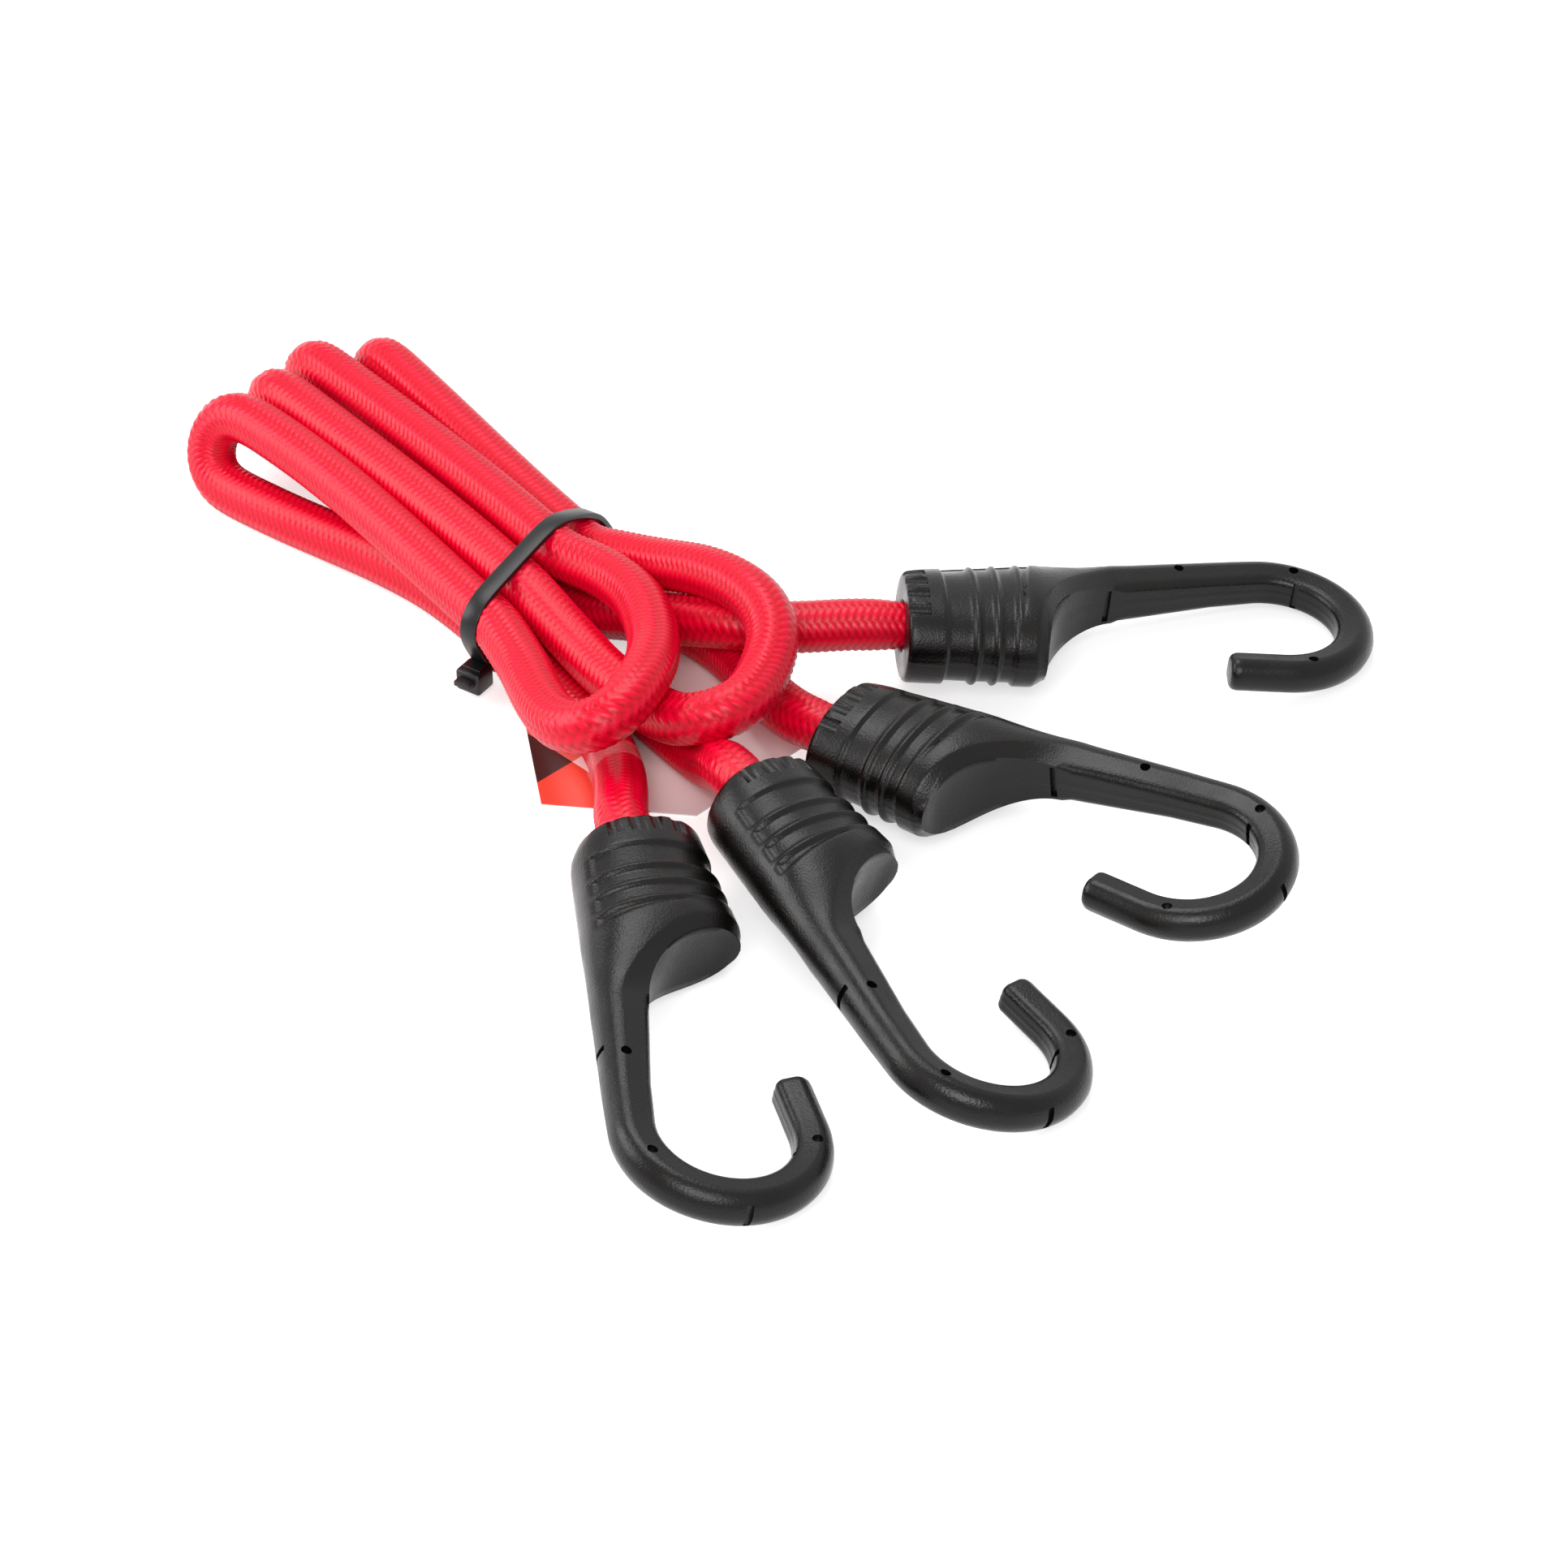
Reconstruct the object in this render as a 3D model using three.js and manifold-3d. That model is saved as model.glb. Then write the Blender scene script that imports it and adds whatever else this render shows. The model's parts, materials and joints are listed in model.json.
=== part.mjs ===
// Two elastic tie-down cords folded side by side into one hank. Each cord is a rubber core in a woven
// sheath, with a moulded hook that swivels on a crimped ferrule at each end. A cable tie holds the hank,
// and a flat label hangs on one cord by a clear film sleeve. Sizes are in millimetres, +Z is up.
import * as THREE from 'three';
import { mergeVertices } from 'three/addons/utils/BufferGeometryUtils.js';
import Module from 'manifold-3d';

const wasm = await Module();
wasm.setup();

// Gap between pieces that touch on the real object
const CLEARANCE = 0.3;

// Cord
const CORD_DIAMETER = 8.8;
const SHEATH_WALL = 0.9;
const SHEATH_SIDES = 8;
const CORE_SIDES = 6;

// Strands under the cable tie, by column: shift along the tie and height, both in cord diameters
const LOW_ROW = [[2.36, 0.69], [1.16, 0.69], [0, 0.69], [-1.16, 0.69]];
const TOP_ROW = [[1.82, 1.6], [0.8, 2.05], [-0.48, 1.86], [-1.68, 1.67]];
const STRAND_BEARING = 125;
const TIE_CENTRE = [-47.95, 44.65];
const TIE_BEARING = 57.7;
const HAIRPIN_HANDLE = 25;
const LEG_STEPS = 5;
const HAIRPIN_STEPS = 8;
const FOLD_STEPS = 24;
const END_STEPS = 7;
const TIE_RUN = 4;

// Hook body: x runs from the mouth along the bore, y towards the hook's opening, z across the hook
const BODY_WIDTH = 24;
const BODY_THICKNESS = 18.6;
const MOUTH_CHAMFER = 0.8;
const SPINE_ROUNDING = [[0, 2.2], [0.8, 1.3], [2.6, 0.5], [5, 0]];
const COLLAR_LENGTH = 7.2;
const GRIP_LENGTH = 15;
const GRIP_RECESS = 0.8;
const RIB_COUNT = 3;
const RIB_WIDTH = 2;
const RIB_TOP_WIDTH = 0.8;
const RIB_PITCH = 3.9;
const FIRST_RIB = 13;
const HEEL_LENGTH = 24.3;
const HEEL_REACH = 12.9;
const RIM_LENGTH = 2.1;
const RIM_CHAMFER = 1.3;
const BODY_SQUARENESS = 2.2;
const SPINE_SLOPE = 9;
const CROWN_GROOVES = 4;
const CROWN_PITCH = 4.2;
const CROWN_LENGTH = 4.2;
const CROWN_DEPTH = 0.8;
const CROWN_RADIUS = 1.7;
const CUTTER_REACH = 1;

// Hook rod: shank, bend and tip
const SHANK_ROOT = 42;
const SHANK_ROOT_WIDTH = 9.5;
const SHANK_ROOT_THICKNESS = 9.8;
const SHANK_LENGTH = 69.9;
const TAPER_END = 61.8;
const ROD_WIDTH = 8;
const ROD_THICKNESS = 8;
const ROD_SQUARENESS = 2.4;
const BEND_RADIUS = 15.5;
const BEND_SWEEP = 190;
const BEND_STEPS = 10;
const TIP_LENGTH = 11;
const TIP_ROUNDING = 1.6;
const RING_POINTS = 16;
const END_FACE_PARTS = [0, 0.12, 0.3, 0.52, 0.76, 1];
const END_FACE_LEAN = 0.12;
const END_FACE_DISH = 2.8;
const END_FACE_HOLLOW = 0.3;

// Steel wire core in the rod and the pin holes that held it in the mould
const WIRE_DIAMETER = 4;
const WIRE_SIDES = 6;
const WIRE_START = 22.6;
const WIRE_COVER = 3;
const PIN_HOLE_DIAMETER = 2;
const PIN_HOLE_SIDES = 8;
const SHANK_PIN = 55.2;
const BEND_PINS = [-68, 73];

// Bore, pocket and crimped ferrule
const BORE_PLAY = 0.5;
const BORE_SIDES = 16;
const MOUTH_LENGTH = 6;
const FERRULE_PLAY = 0.4;
const FERRULE_WALL = 1;
const FERRULE_LENGTH = 12;
const CRIMP_DEPTH = 0.5;
const CRIMP_WIDTH = 3;
const FERRULE_SIDES = 16;
const POCKET_END_PLAY = 1;

// Cable tie
const STRAP_WIDTH = 3.6;
const STRAP_THICKNESS = 1.1;
const STRAP_PLAY = 0.45;
const STRAP_POINTS = 36;
const HEAD_LENGTH = 6;
const HEAD_WIDTH = 5.6;
const HEAD_HEIGHT = 4.6;
const HEAD_CHAMFER = 0.6;
const HEAD_LIFT = 1.2;
const TAIL_LENGTH = 1.6;

// Label
const CARD_THICKNESS = 0.25;
const CARD_CORNERS = [[-44.5, -6], [-16, -9.5], [5, 12.5], [-17, 43], [-49.5, 24]];
const SLEEVE_PLAY = 0.6;
const SLEEVE_WALL = 0.3;
const SLEEVE_LENGTH = 4.5;
const SLEEVE_SEGMENT = 5;

// Where the hooks lie: mouth centre, then yaw, pitch and roll of the bore in degrees
const HOOKS = [
  { mouth: [22, 31.3, 13.2], turn: [4.6, 5.7, 178.7] },
  { mouth: [10.4, 1.4, 10.3], turn: [-35.5, -1.4, 185.8] },
  { mouth: [-4.9, -21.9, 14.1], turn: [-54.7, 5.5, -13.8] },
  { mouth: [-26.5, -33.8, 11], turn: [-74.1, 3.1, -12.1] },
];

// Each cord runs from its first hook to the low row, round a hairpin to the top row, out and back in a
// fold over the other strands, round a second hairpin to the low row and on to its second hook
const CORDS = [
  {
    name: 'cord_a',
    first: { column: 1, centre: [-93, 114, 11.2], radius: 6.5, bearing: 130, lean: -90 },
    fold: [
      [-33.4, 40.3, 18.6], [-27, 29.8, 20], [-24, 16, 21], [-24.5, 5.5, 22.8], [-27, -3, 23.5],
      [-31, -8.7, 22.4], [-36, -9.3, 20.2], [-40.5, -5, 17.8], [-44, 3, 16], [-48.5, 17.5, 14.3],
    ],
    second: { column: 3, centre: [-108.8, 92, 11.4], radius: 7.4, bearing: 137, lean: 115 },
    ends: [
      { hook: 1, route: [[-25.8, 38.6, 10], [-13.2, 31.2, 14.2], [-2.4, 29.2, 14.4]] },
      { hook: 4, route: [[-43.2, 22, 5], [-34, 8, 5], [-30.3, -5.3, 6.8]] },
    ],
  },
  {
    name: 'cord_b',
    first: { column: 0, centre: [-80, 116, 10.9], radius: 6.2, bearing: 124, lean: -90 },
    fold: [
      [-25.5, 46, 17.5], [-13, 34.5, 22.9], [-5, 24, 24.6], [-2, 15.5, 23], [-4, 6, 20.4],
      [-8.5, -3, 20.2], [-16, -4.5, 18.4], [-23, 3.5, 14], [-33, 16.5, 12.9], [-37.5, 23.5, 13.2],
    ],
    second: { column: 2, centre: [-99.3, 104, 11.3], radius: 6.5, bearing: 130, lean: 82 },
    ends: [
      { hook: 2, route: [[-22.5, 46.3, 5], [-11, 34.8, 4.8], [-3, 17.8, 7]] },
      { hook: 3, route: [[-36, 29.2, 5], [-25, 15, 4.9], [-15.8, 1.5, 5.8]] },
    ],
  },
];

const UP = new THREE.Vector3(0, 0, 1);
const { degToRad, lerp } = THREE.MathUtils;

function heading(bearing) {
  return new THREE.Vector3(Math.cos(degToRad(bearing)), Math.sin(degToRad(bearing)), 0);
}

function along(start, direction, distance) {
  return start.clone().addScaledVector(direction, distance);
}

// Joining and cutting
function solidOf(geometry) {
  const bare = geometry.index ? geometry.toNonIndexed() : geometry.clone();
  bare.deleteAttribute('normal');
  bare.deleteAttribute('uv');
  const welded = mergeVertices(bare);
  const vertProperties = Float32Array.from(welded.attributes.position.array);
  const triVerts = Uint32Array.from(welded.index.array);
  return new wasm.Manifold(new wasm.Mesh({ numProp: 3, vertProperties, triVerts }));
}

function geometryOf(solid) {
  const { vertProperties, triVerts } = solid.getMesh();
  const geometry = new THREE.BufferGeometry();
  geometry.setAttribute('position', new THREE.BufferAttribute(vertProperties, 3));
  geometry.setIndex(new THREE.BufferAttribute(triVerts, 1));
  geometry.computeVertexNormals();
  return geometry;
}

// Closed skin over a row of rings with equal point counts, turning right-handed about the row
function loft(rings) {
  const count = rings[0].length;
  const last = (rings.length - 1) * count;
  const index = [];
  for (let row = 0; row < rings.length - 1; row += 1) {
    for (let side = 0; side < count; side += 1) {
      const a = row * count + side;
      const b = row * count + ((side + 1) % count);
      index.push(a, b, b + count, a, b + count, a + count);
    }
  }
  for (let side = 1; side < count - 1; side += 1) {
    index.push(0, side + 1, side, last, last + side, last + side + 1);
  }
  const geometry = new THREE.BufferGeometry().setFromPoints(rings.flat());
  geometry.setIndex(index);
  geometry.computeVertexNormals();
  return geometry;
}

// Polygon section swept along points, with the section carried on without twist
function sweep(points, radius, sides) {
  const rings = [];
  let normal = null;
  for (let k = 0; k < points.length; k += 1) {
    const before = points[Math.max(k - 1, 0)];
    const after = points[Math.min(k + 1, points.length - 1)];
    const tangent = after.clone().sub(before).normalize();
    normal ??= UP.clone();
    normal.addScaledVector(tangent, -normal.dot(tangent)).normalize();
    const binormal = tangent.clone().cross(normal);
    const ring = [];
    for (let side = 0; side < sides; side += 1) {
      const angle = (2 * Math.PI * (side + 0.5)) / sides;
      const spot = along(points[k], normal, radius * Math.cos(angle));
      ring.push(along(spot, binormal, radius * Math.sin(angle)));
    }
    rings.push(ring);
  }
  return loft(rings);
}

function stretched(points, extra) {
  const first = points[0].clone().sub(points[1]).normalize();
  const last = points.at(-1).clone().sub(points.at(-2)).normalize();
  return [along(points[0], first, extra), ...points, along(points.at(-1), last, extra)];
}

// A revolve about the x axis from a profile of [radius, x] pairs
function revolved(profile, sides) {
  const points = profile.map(([radius, x]) => new THREE.Vector2(radius, x));
  return new THREE.LatheGeometry(points, sides).rotateZ(-Math.PI / 2);
}

function material(color, roughness, metalness) {
  return new THREE.MeshStandardMaterial({ color, roughness, metalness });
}

function named(name, geometry, finish) {
  const mesh = new THREE.Mesh(geometry, finish);
  mesh.name = name;
  return mesh;
}

// Hook moulding
function spine(x) {
  return -BODY_WIDTH / 2 - x * Math.tan(degToRad(SPINE_SLOPE));
}

function innerSide(x) {
  return lerp(BODY_WIDTH / 2, HEEL_REACH, x / HEEL_LENGTH);
}

// Rounded-square ring between a point on the spine and a point on the inner side
function hookRing(outer, inner, halfThickness, squareness) {
  const middle = outer.clone().lerp(inner, 0.5);
  const reach = inner.clone().sub(outer).multiplyScalar(0.5);
  const ring = [];
  for (let k = 0; k < RING_POINTS; k += 1) {
    const angle = (2 * Math.PI * (k + 0.5)) / RING_POINTS;
    const across = Math.sign(Math.cos(angle)) * Math.abs(Math.cos(angle)) ** (2 / squareness);
    const lift = Math.sign(Math.sin(angle)) * Math.abs(Math.sin(angle)) ** (2 / squareness);
    const spot = middle.clone().addScaledVector(reach, across);
    ring.push(new THREE.Vector3(spot.x, spot.y, halfThickness * lift));
  }
  return ring;
}

function bodyRing(x, inset, spineInset) {
  const outer = new THREE.Vector2(x, spine(x) + spineInset);
  const inner = new THREE.Vector2(x, innerSide(x) - inset);
  return hookRing(outer, inner, BODY_THICKNESS / 2 - inset, BODY_SQUARENESS);
}

function gripRings() {
  const end = COLLAR_LENGTH + GRIP_LENGTH;
  const foot = RIB_WIDTH / 2;
  const top = RIB_TOP_WIDTH / 2;
  const rings = [bodyRing(COLLAR_LENGTH + GRIP_RECESS, GRIP_RECESS, 0)];
  for (let rib = 0; rib < RIB_COUNT; rib += 1) {
    const middle = FIRST_RIB + rib * RIB_PITCH;
    for (const [shift, inset] of [[-foot, GRIP_RECESS], [-top, 0], [top, 0], [foot, GRIP_RECESS]]) {
      rings.push(bodyRing(middle + shift, inset, 0));
    }
  }
  rings.push(bodyRing(end, GRIP_RECESS, 0), bodyRing(end + GRIP_RECESS, 0, 0));
  return rings;
}

// From the heel a chamfered rim leads to the end face, which dishes down to the root of the shank
function endFaceRings() {
  const start = HEEL_LENGTH + RIM_LENGTH;
  const rim = new THREE.Vector2(start, HEEL_REACH - RIM_CHAMFER);
  const root = new THREE.Vector2(SHANK_ROOT, spine(SHANK_ROOT) + SHANK_ROOT_WIDTH);
  const pull = new THREE.Vector2(lerp(rim.x, root.x, END_FACE_LEAN), root.y + END_FACE_DISH);
  const face = new THREE.QuadraticBezierCurve(rim, pull, root);
  const body = new THREE.Vector2(0, BODY_THICKNESS / 2 - RIM_CHAMFER);
  const neck = new THREE.Vector2(0, SHANK_ROOT_THICKNESS / 2);
  const middle = body.clone().lerp(neck, 0.5).multiplyScalar(1 - END_FACE_HOLLOW / 2);
  const thickness = new THREE.QuadraticBezierCurve(body, middle, neck);
  const dish = END_FACE_PARTS.map((part) => {
    const x = lerp(start, SHANK_ROOT, part);
    const outer = new THREE.Vector2(x, spine(x));
    return hookRing(outer, face.getPoint(part), thickness.getPoint(part).y, BODY_SQUARENESS);
  });
  return [bodyRing(HEEL_LENGTH, 0, 0), ...dish];
}

// Centre line of the rod: parallel to the spine, round the bend and straight to the tip
function rodLine() {
  const slope = new THREE.Vector2(1, 0).rotateAround(new THREE.Vector2(), degToRad(-SPINE_SLOPE));
  const square = new THREE.Vector2(-slope.y, slope.x);
  const end = new THREE.Vector2(SHANK_LENGTH, spine(SHANK_LENGTH) + ROD_WIDTH / 2);
  const centre = end.clone().addScaledVector(square, BEND_RADIUS);
  return { slope, end, centre };
}

function bendDirection(angle) {
  return new THREE.Vector2(Math.cos(degToRad(angle)), Math.sin(degToRad(angle)));
}

function rodRing(middle, outward, grow) {
  const half = ROD_WIDTH / 2 - grow;
  const outer = middle.clone().addScaledVector(outward, half);
  const inner = middle.clone().addScaledVector(outward, -half);
  return hookRing(outer, inner, ROD_THICKNESS / 2 - grow, ROD_SQUARENESS);
}

function rodRings() {
  const { centre } = rodLine();
  const rings = [];
  for (const part of [0.5, 1]) {
    const x = lerp(SHANK_ROOT, TAPER_END, part);
    const outer = new THREE.Vector2(x, spine(x));
    const inner = new THREE.Vector2(x, spine(x) + lerp(SHANK_ROOT_WIDTH, ROD_WIDTH, part));
    const half = lerp(SHANK_ROOT_THICKNESS, ROD_THICKNESS, part) / 2;
    rings.push(hookRing(outer, inner, half, ROD_SQUARENESS));
  }
  for (let step = 0; step <= BEND_STEPS; step += 1) {
    const outward = bendDirection(-90 - SPINE_SLOPE + (BEND_SWEEP * step) / BEND_STEPS);
    rings.push(rodRing(centre.clone().addScaledVector(outward, BEND_RADIUS), outward, 0));
  }
  const outward = bendDirection(-90 - SPINE_SLOPE + BEND_SWEEP);
  const ahead = new THREE.Vector2(-outward.y, outward.x);
  const start = centre.clone().addScaledVector(outward, BEND_RADIUS);
  for (const [back, grow] of [[TIP_ROUNDING, 0], [TIP_ROUNDING / 3, TIP_ROUNDING / 3], [0, TIP_ROUNDING]]) {
    rings.push(rodRing(start.clone().addScaledVector(ahead, TIP_LENGTH - back), outward, grow));
  }
  return rings;
}

function wirePath(extra) {
  const { slope, end, centre } = rodLine();
  const lead = (SHANK_LENGTH - WIRE_START + extra) / slope.x;
  const spots = [end.clone().addScaledVector(slope, -lead)];
  for (let step = 0; step <= BEND_STEPS; step += 1) {
    const outward = bendDirection(-90 - SPINE_SLOPE + (BEND_SWEEP * step) / BEND_STEPS);
    spots.push(centre.clone().addScaledVector(outward, BEND_RADIUS));
  }
  const outward = bendDirection(-90 - SPINE_SLOPE + BEND_SWEEP);
  const ahead = new THREE.Vector2(-outward.y, outward.x);
  spots.push(spots.at(-1).clone().addScaledVector(ahead, TIP_LENGTH - WIRE_COVER + extra));
  return spots.map((spot) => new THREE.Vector3(spot.x, spot.y, 0));
}

function pinSpots() {
  const { slope, end, centre } = rodLine();
  const shank = end.clone().addScaledVector(slope, (SHANK_PIN - SHANK_LENGTH) / slope.x);
  const bend = BEND_PINS.map((angle) => centre.clone().addScaledVector(bendDirection(angle), BEND_RADIUS));
  return [shank, ...bend];
}

function ferruleRadius() {
  return CORD_DIAMETER / 2 + FERRULE_PLAY + FERRULE_WALL;
}

function boreCutter() {
  const bore = CORD_DIAMETER / 2 + BORE_PLAY;
  const pocket = ferruleRadius() + BORE_PLAY;
  const deep = MOUTH_LENGTH + FERRULE_LENGTH + CLEARANCE + POCKET_END_PLAY;
  return solidOf(revolved([
    [0, -CUTTER_REACH], [bore, -CUTTER_REACH], [bore, MOUTH_LENGTH],
    [pocket, MOUTH_LENGTH], [pocket, deep], [0, deep],
  ], BORE_SIDES));
}

function crownCutter(groove, face) {
  const length = CROWN_LENGTH + CUTTER_REACH;
  const cutter = new THREE.CylinderGeometry(CROWN_RADIUS, CROWN_RADIUS, length, PIN_HOLE_SIDES);
  const y = (groove - (CROWN_GROOVES - 1) / 2) * CROWN_PITCH;
  const across = Math.abs(y) / (BODY_WIDTH / 2);
  const lift = (1 - across ** BODY_SQUARENESS) ** (1 / BODY_SQUARENESS);
  const z = face * ((BODY_THICKNESS / 2) * lift + CROWN_RADIUS - CROWN_DEPTH);
  return solidOf(cutter.rotateZ(-Math.PI / 2).translate(length / 2 - CUTTER_REACH, y, z));
}

function hookMoulding() {
  const rings = [
    ...SPINE_ROUNDING.map(([x, spineInset]) => bodyRing(x, Math.max(MOUTH_CHAMFER - x, 0), spineInset)),
    bodyRing(COLLAR_LENGTH, 0, 0),
    ...gripRings(),
    ...endFaceRings(),
    ...rodRings(),
  ];
  const channel = sweep(wirePath(CLEARANCE), WIRE_DIAMETER / 2 + CLEARANCE, WIRE_SIDES);
  let hook = solidOf(loft(rings)).subtract(boreCutter()).subtract(solidOf(channel));
  for (const spot of pinSpots()) {
    const radius = PIN_HOLE_DIAMETER / 2;
    const pin = new THREE.CylinderGeometry(radius, radius, 2 * ROD_THICKNESS, PIN_HOLE_SIDES);
    hook = hook.subtract(solidOf(pin.rotateX(Math.PI / 2).translate(spot.x, spot.y, 0)));
  }
  for (let groove = 0; groove < CROWN_GROOVES; groove += 1) {
    hook = hook.subtract(crownCutter(groove, 1)).subtract(crownCutter(groove, -1));
  }
  return geometryOf(hook);
}

function wireCore() {
  return sweep(wirePath(0), WIRE_DIAMETER / 2, WIRE_SIDES);
}

function crimpFerrule() {
  const inner = CORD_DIAMETER / 2 + FERRULE_PLAY;
  const outer = ferruleRadius();
  const start = MOUTH_LENGTH + CLEARANCE;
  const end = start + FERRULE_LENGTH;
  const crimp = (start + end) / 2;
  return mergeVertices(revolved([
    [inner, start], [outer, start], [outer, crimp - CRIMP_WIDTH / 2], [outer - CRIMP_DEPTH, crimp],
    [outer, crimp + CRIMP_WIDTH / 2], [outer, end], [inner, end], [inner, start],
  ], FERRULE_SIDES));
}

function hookRotation([yaw, pitch, roll]) {
  return new THREE.Euler(degToRad(roll), degToRad(pitch), degToRad(yaw), 'ZYX');
}

const HOOK_PLASTIC = [0x1b1b1d, 0.55, 0];
const STEEL = [0xb9bcc0, 0.35, 1];
const ALUMINIUM = [0xc6c8ca, 0.4, 1];

function hookGroup(place, number) {
  const group = new THREE.Group();
  group.position.set(...place.mouth);
  group.rotation.copy(hookRotation(place.turn));
  group.add(named(`hook_${number}_moulding`, hookMoulding(), material(...HOOK_PLASTIC)));
  group.add(named(`hook_${number}_wire_core`, wireCore(), material(...STEEL)));
  group.add(named(`hook_${number}_crimp_ferrule`, crimpFerrule(), material(...ALUMINIUM)));
  return group;
}

// Cord routes
function strand([shift, height]) {
  const centre = new THREE.Vector3(...TIE_CENTRE, height * CORD_DIAMETER);
  return along(centre, heading(TIE_BEARING), shift * CORD_DIAMETER);
}

// One hairpin: a leg out from the tie, half a circle and a leg back
function hairpin(start, finish, loop) {
  const ahead = heading(loop.bearing);
  const away = heading(STRAND_BEARING);
  const lean = degToRad(loop.lean);
  const level = heading(loop.bearing + 90).multiplyScalar(Math.cos(lean));
  const across = along(level, UP, Math.sin(lean));
  const centre = new THREE.Vector3(...loop.centre);
  const near = along(centre, across, loop.radius);
  const far = along(centre, across, -loop.radius);
  const out = new THREE.CubicBezierCurve3(
    start, along(start, away, HAIRPIN_HANDLE), along(near, ahead, -HAIRPIN_HANDLE), near);
  const back = new THREE.CubicBezierCurve3(
    far, along(far, ahead, -HAIRPIN_HANDLE), along(finish, away, HAIRPIN_HANDLE), finish);
  const points = out.getPoints(LEG_STEPS);
  for (let step = 1; step < HAIRPIN_STEPS; step += 1) {
    const angle = (Math.PI * step) / HAIRPIN_STEPS;
    const spot = along(centre, across, loop.radius * Math.cos(angle));
    points.push(along(spot, ahead, loop.radius * Math.sin(angle)));
  }
  return [...points, ...back.getPoints(LEG_STEPS)];
}

function vectors(list) {
  return list.map((spot) => new THREE.Vector3(...spot));
}

function smoothed(points, steps) {
  return new THREE.CatmullRomCurve3(points, false, 'centripetal').getSpacedPoints(steps);
}

function hankPath(cord) {
  const away = heading(STRAND_BEARING);
  const lowStart = strand(LOW_ROW[cord.first.column]);
  const topStart = strand(TOP_ROW[cord.first.column]);
  const topEnd = strand(TOP_ROW[cord.second.column]);
  const lowEnd = strand(LOW_ROW[cord.second.column]);
  const fold = smoothed(
    [along(topStart, away, -TIE_RUN), ...vectors(cord.fold), along(topEnd, away, -TIE_RUN)], FOLD_STEPS);
  return [
    along(lowStart, away, CLEARANCE / 2),
    ...hairpin(along(lowStart, away, CORD_DIAMETER), along(topStart, away, TIE_RUN), cord.first),
    ...fold,
    ...hairpin(along(topEnd, away, TIE_RUN), along(lowEnd, away, CORD_DIAMETER), cord.second),
    along(lowEnd, away, CLEARANCE / 2),
  ];
}

function endPath(end, column) {
  const towards = heading(STRAND_BEARING + 180);
  const start = strand(LOW_ROW[column]);
  const place = HOOKS[end.hook - 1];
  const bore = new THREE.Vector3(1, 0, 0).applyEuler(hookRotation(place.turn));
  const mouth = new THREE.Vector3(...place.mouth);
  const approach = along(mouth, bore, -CORD_DIAMETER);
  const free = [along(start, towards, CORD_DIAMETER), ...vectors(end.route), approach];
  const inside = MOUTH_LENGTH + CLEARANCE + FERRULE_LENGTH;
  return [along(start, towards, CLEARANCE / 2), ...smoothed(free, END_STEPS), along(mouth, bore, inside)];
}

// Least gap of a tube to itself, between points more than a hairpin's half turn apart along it
function selfGap(path) {
  const dense = [];
  for (let k = 0; k < path.length - 1; k += 1) {
    for (const part of [0, 0.25, 0.5, 0.75]) {
      dense.push(path[k].clone().lerp(path[k + 1], part));
    }
  }
  const travel = [0];
  for (let k = 1; k < dense.length; k += 1) {
    travel.push(travel[k - 1] + dense[k].distanceTo(dense[k - 1]));
  }
  let least = Infinity;
  for (let i = 0; i < dense.length; i += 1) {
    for (let j = i + 1; j < dense.length; j += 1) {
      if (travel[j] - travel[i] > 2 * CORD_DIAMETER) {
        least = Math.min(least, dense[i].distanceTo(dense[j]) - CORD_DIAMETER);
      }
    }
  }
  return least;
}

const SHEATH_YARN = [0xd2142a, 0.6, 0];
const RUBBER = [0xd9cdb4, 0.8, 0];

function cordPieces(name, path) {
  const bore = CORD_DIAMETER / 2 - SHEATH_WALL;
  const tube = solidOf(sweep(path, CORD_DIAMETER / 2, SHEATH_SIDES));
  const hollow = solidOf(sweep(stretched(path, CUTTER_REACH), bore, CORE_SIDES));
  const core = sweep(path, bore - CLEARANCE / Math.cos(Math.PI / CORE_SIDES), CORE_SIDES);
  return [
    named(`${name}_sheath`, geometryOf(tube.subtract(hollow)), material(...SHEATH_YARN)),
    named(`${name}_rubber_core`, core, material(...RUBBER)),
  ];
}

// Cable tie: a strap drawn round the eight strands, its head and the cut end of its tail
function strapOutline(grow) {
  const skew = degToRad(TIE_BEARING + 90 - STRAND_BEARING);
  const reach = CORD_DIAMETER / 2 / Math.cos(skew) + (STRAP_WIDTH / 2) * Math.tan(skew) + STRAP_PLAY + grow;
  const height = CORD_DIAMETER / 2 + STRAP_PLAY + grow;
  const strands = [...LOW_ROW, ...TOP_ROW];
  const corners = strands.map((spot) => new THREE.Vector2(...spot).multiplyScalar(CORD_DIAMETER));
  const outline = [];
  for (let k = 0; k < STRAP_POINTS; k += 1) {
    const angle = (2 * Math.PI * (k + 0.5)) / STRAP_POINTS;
    const facing = new THREE.Vector2(Math.cos(angle) / reach, Math.sin(angle) / height);
    const corner = corners.reduce((best, spot) => (spot.dot(facing) > best.dot(facing) ? spot : best));
    outline.push(new THREE.Vector2(corner.x + reach * Math.cos(angle), corner.y + height * Math.sin(angle)));
  }
  return outline;
}

function slab(outline, hole, width) {
  const shape = new THREE.Shape(outline);
  if (hole) {
    shape.holes.push(new THREE.Path(hole));
  }
  const geometry = new THREE.ExtrudeGeometry(shape, { depth: width, bevelEnabled: false, steps: 1 });
  return solidOf(geometry.translate(0, 0, -width / 2).rotateX(Math.PI / 2));
}

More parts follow.
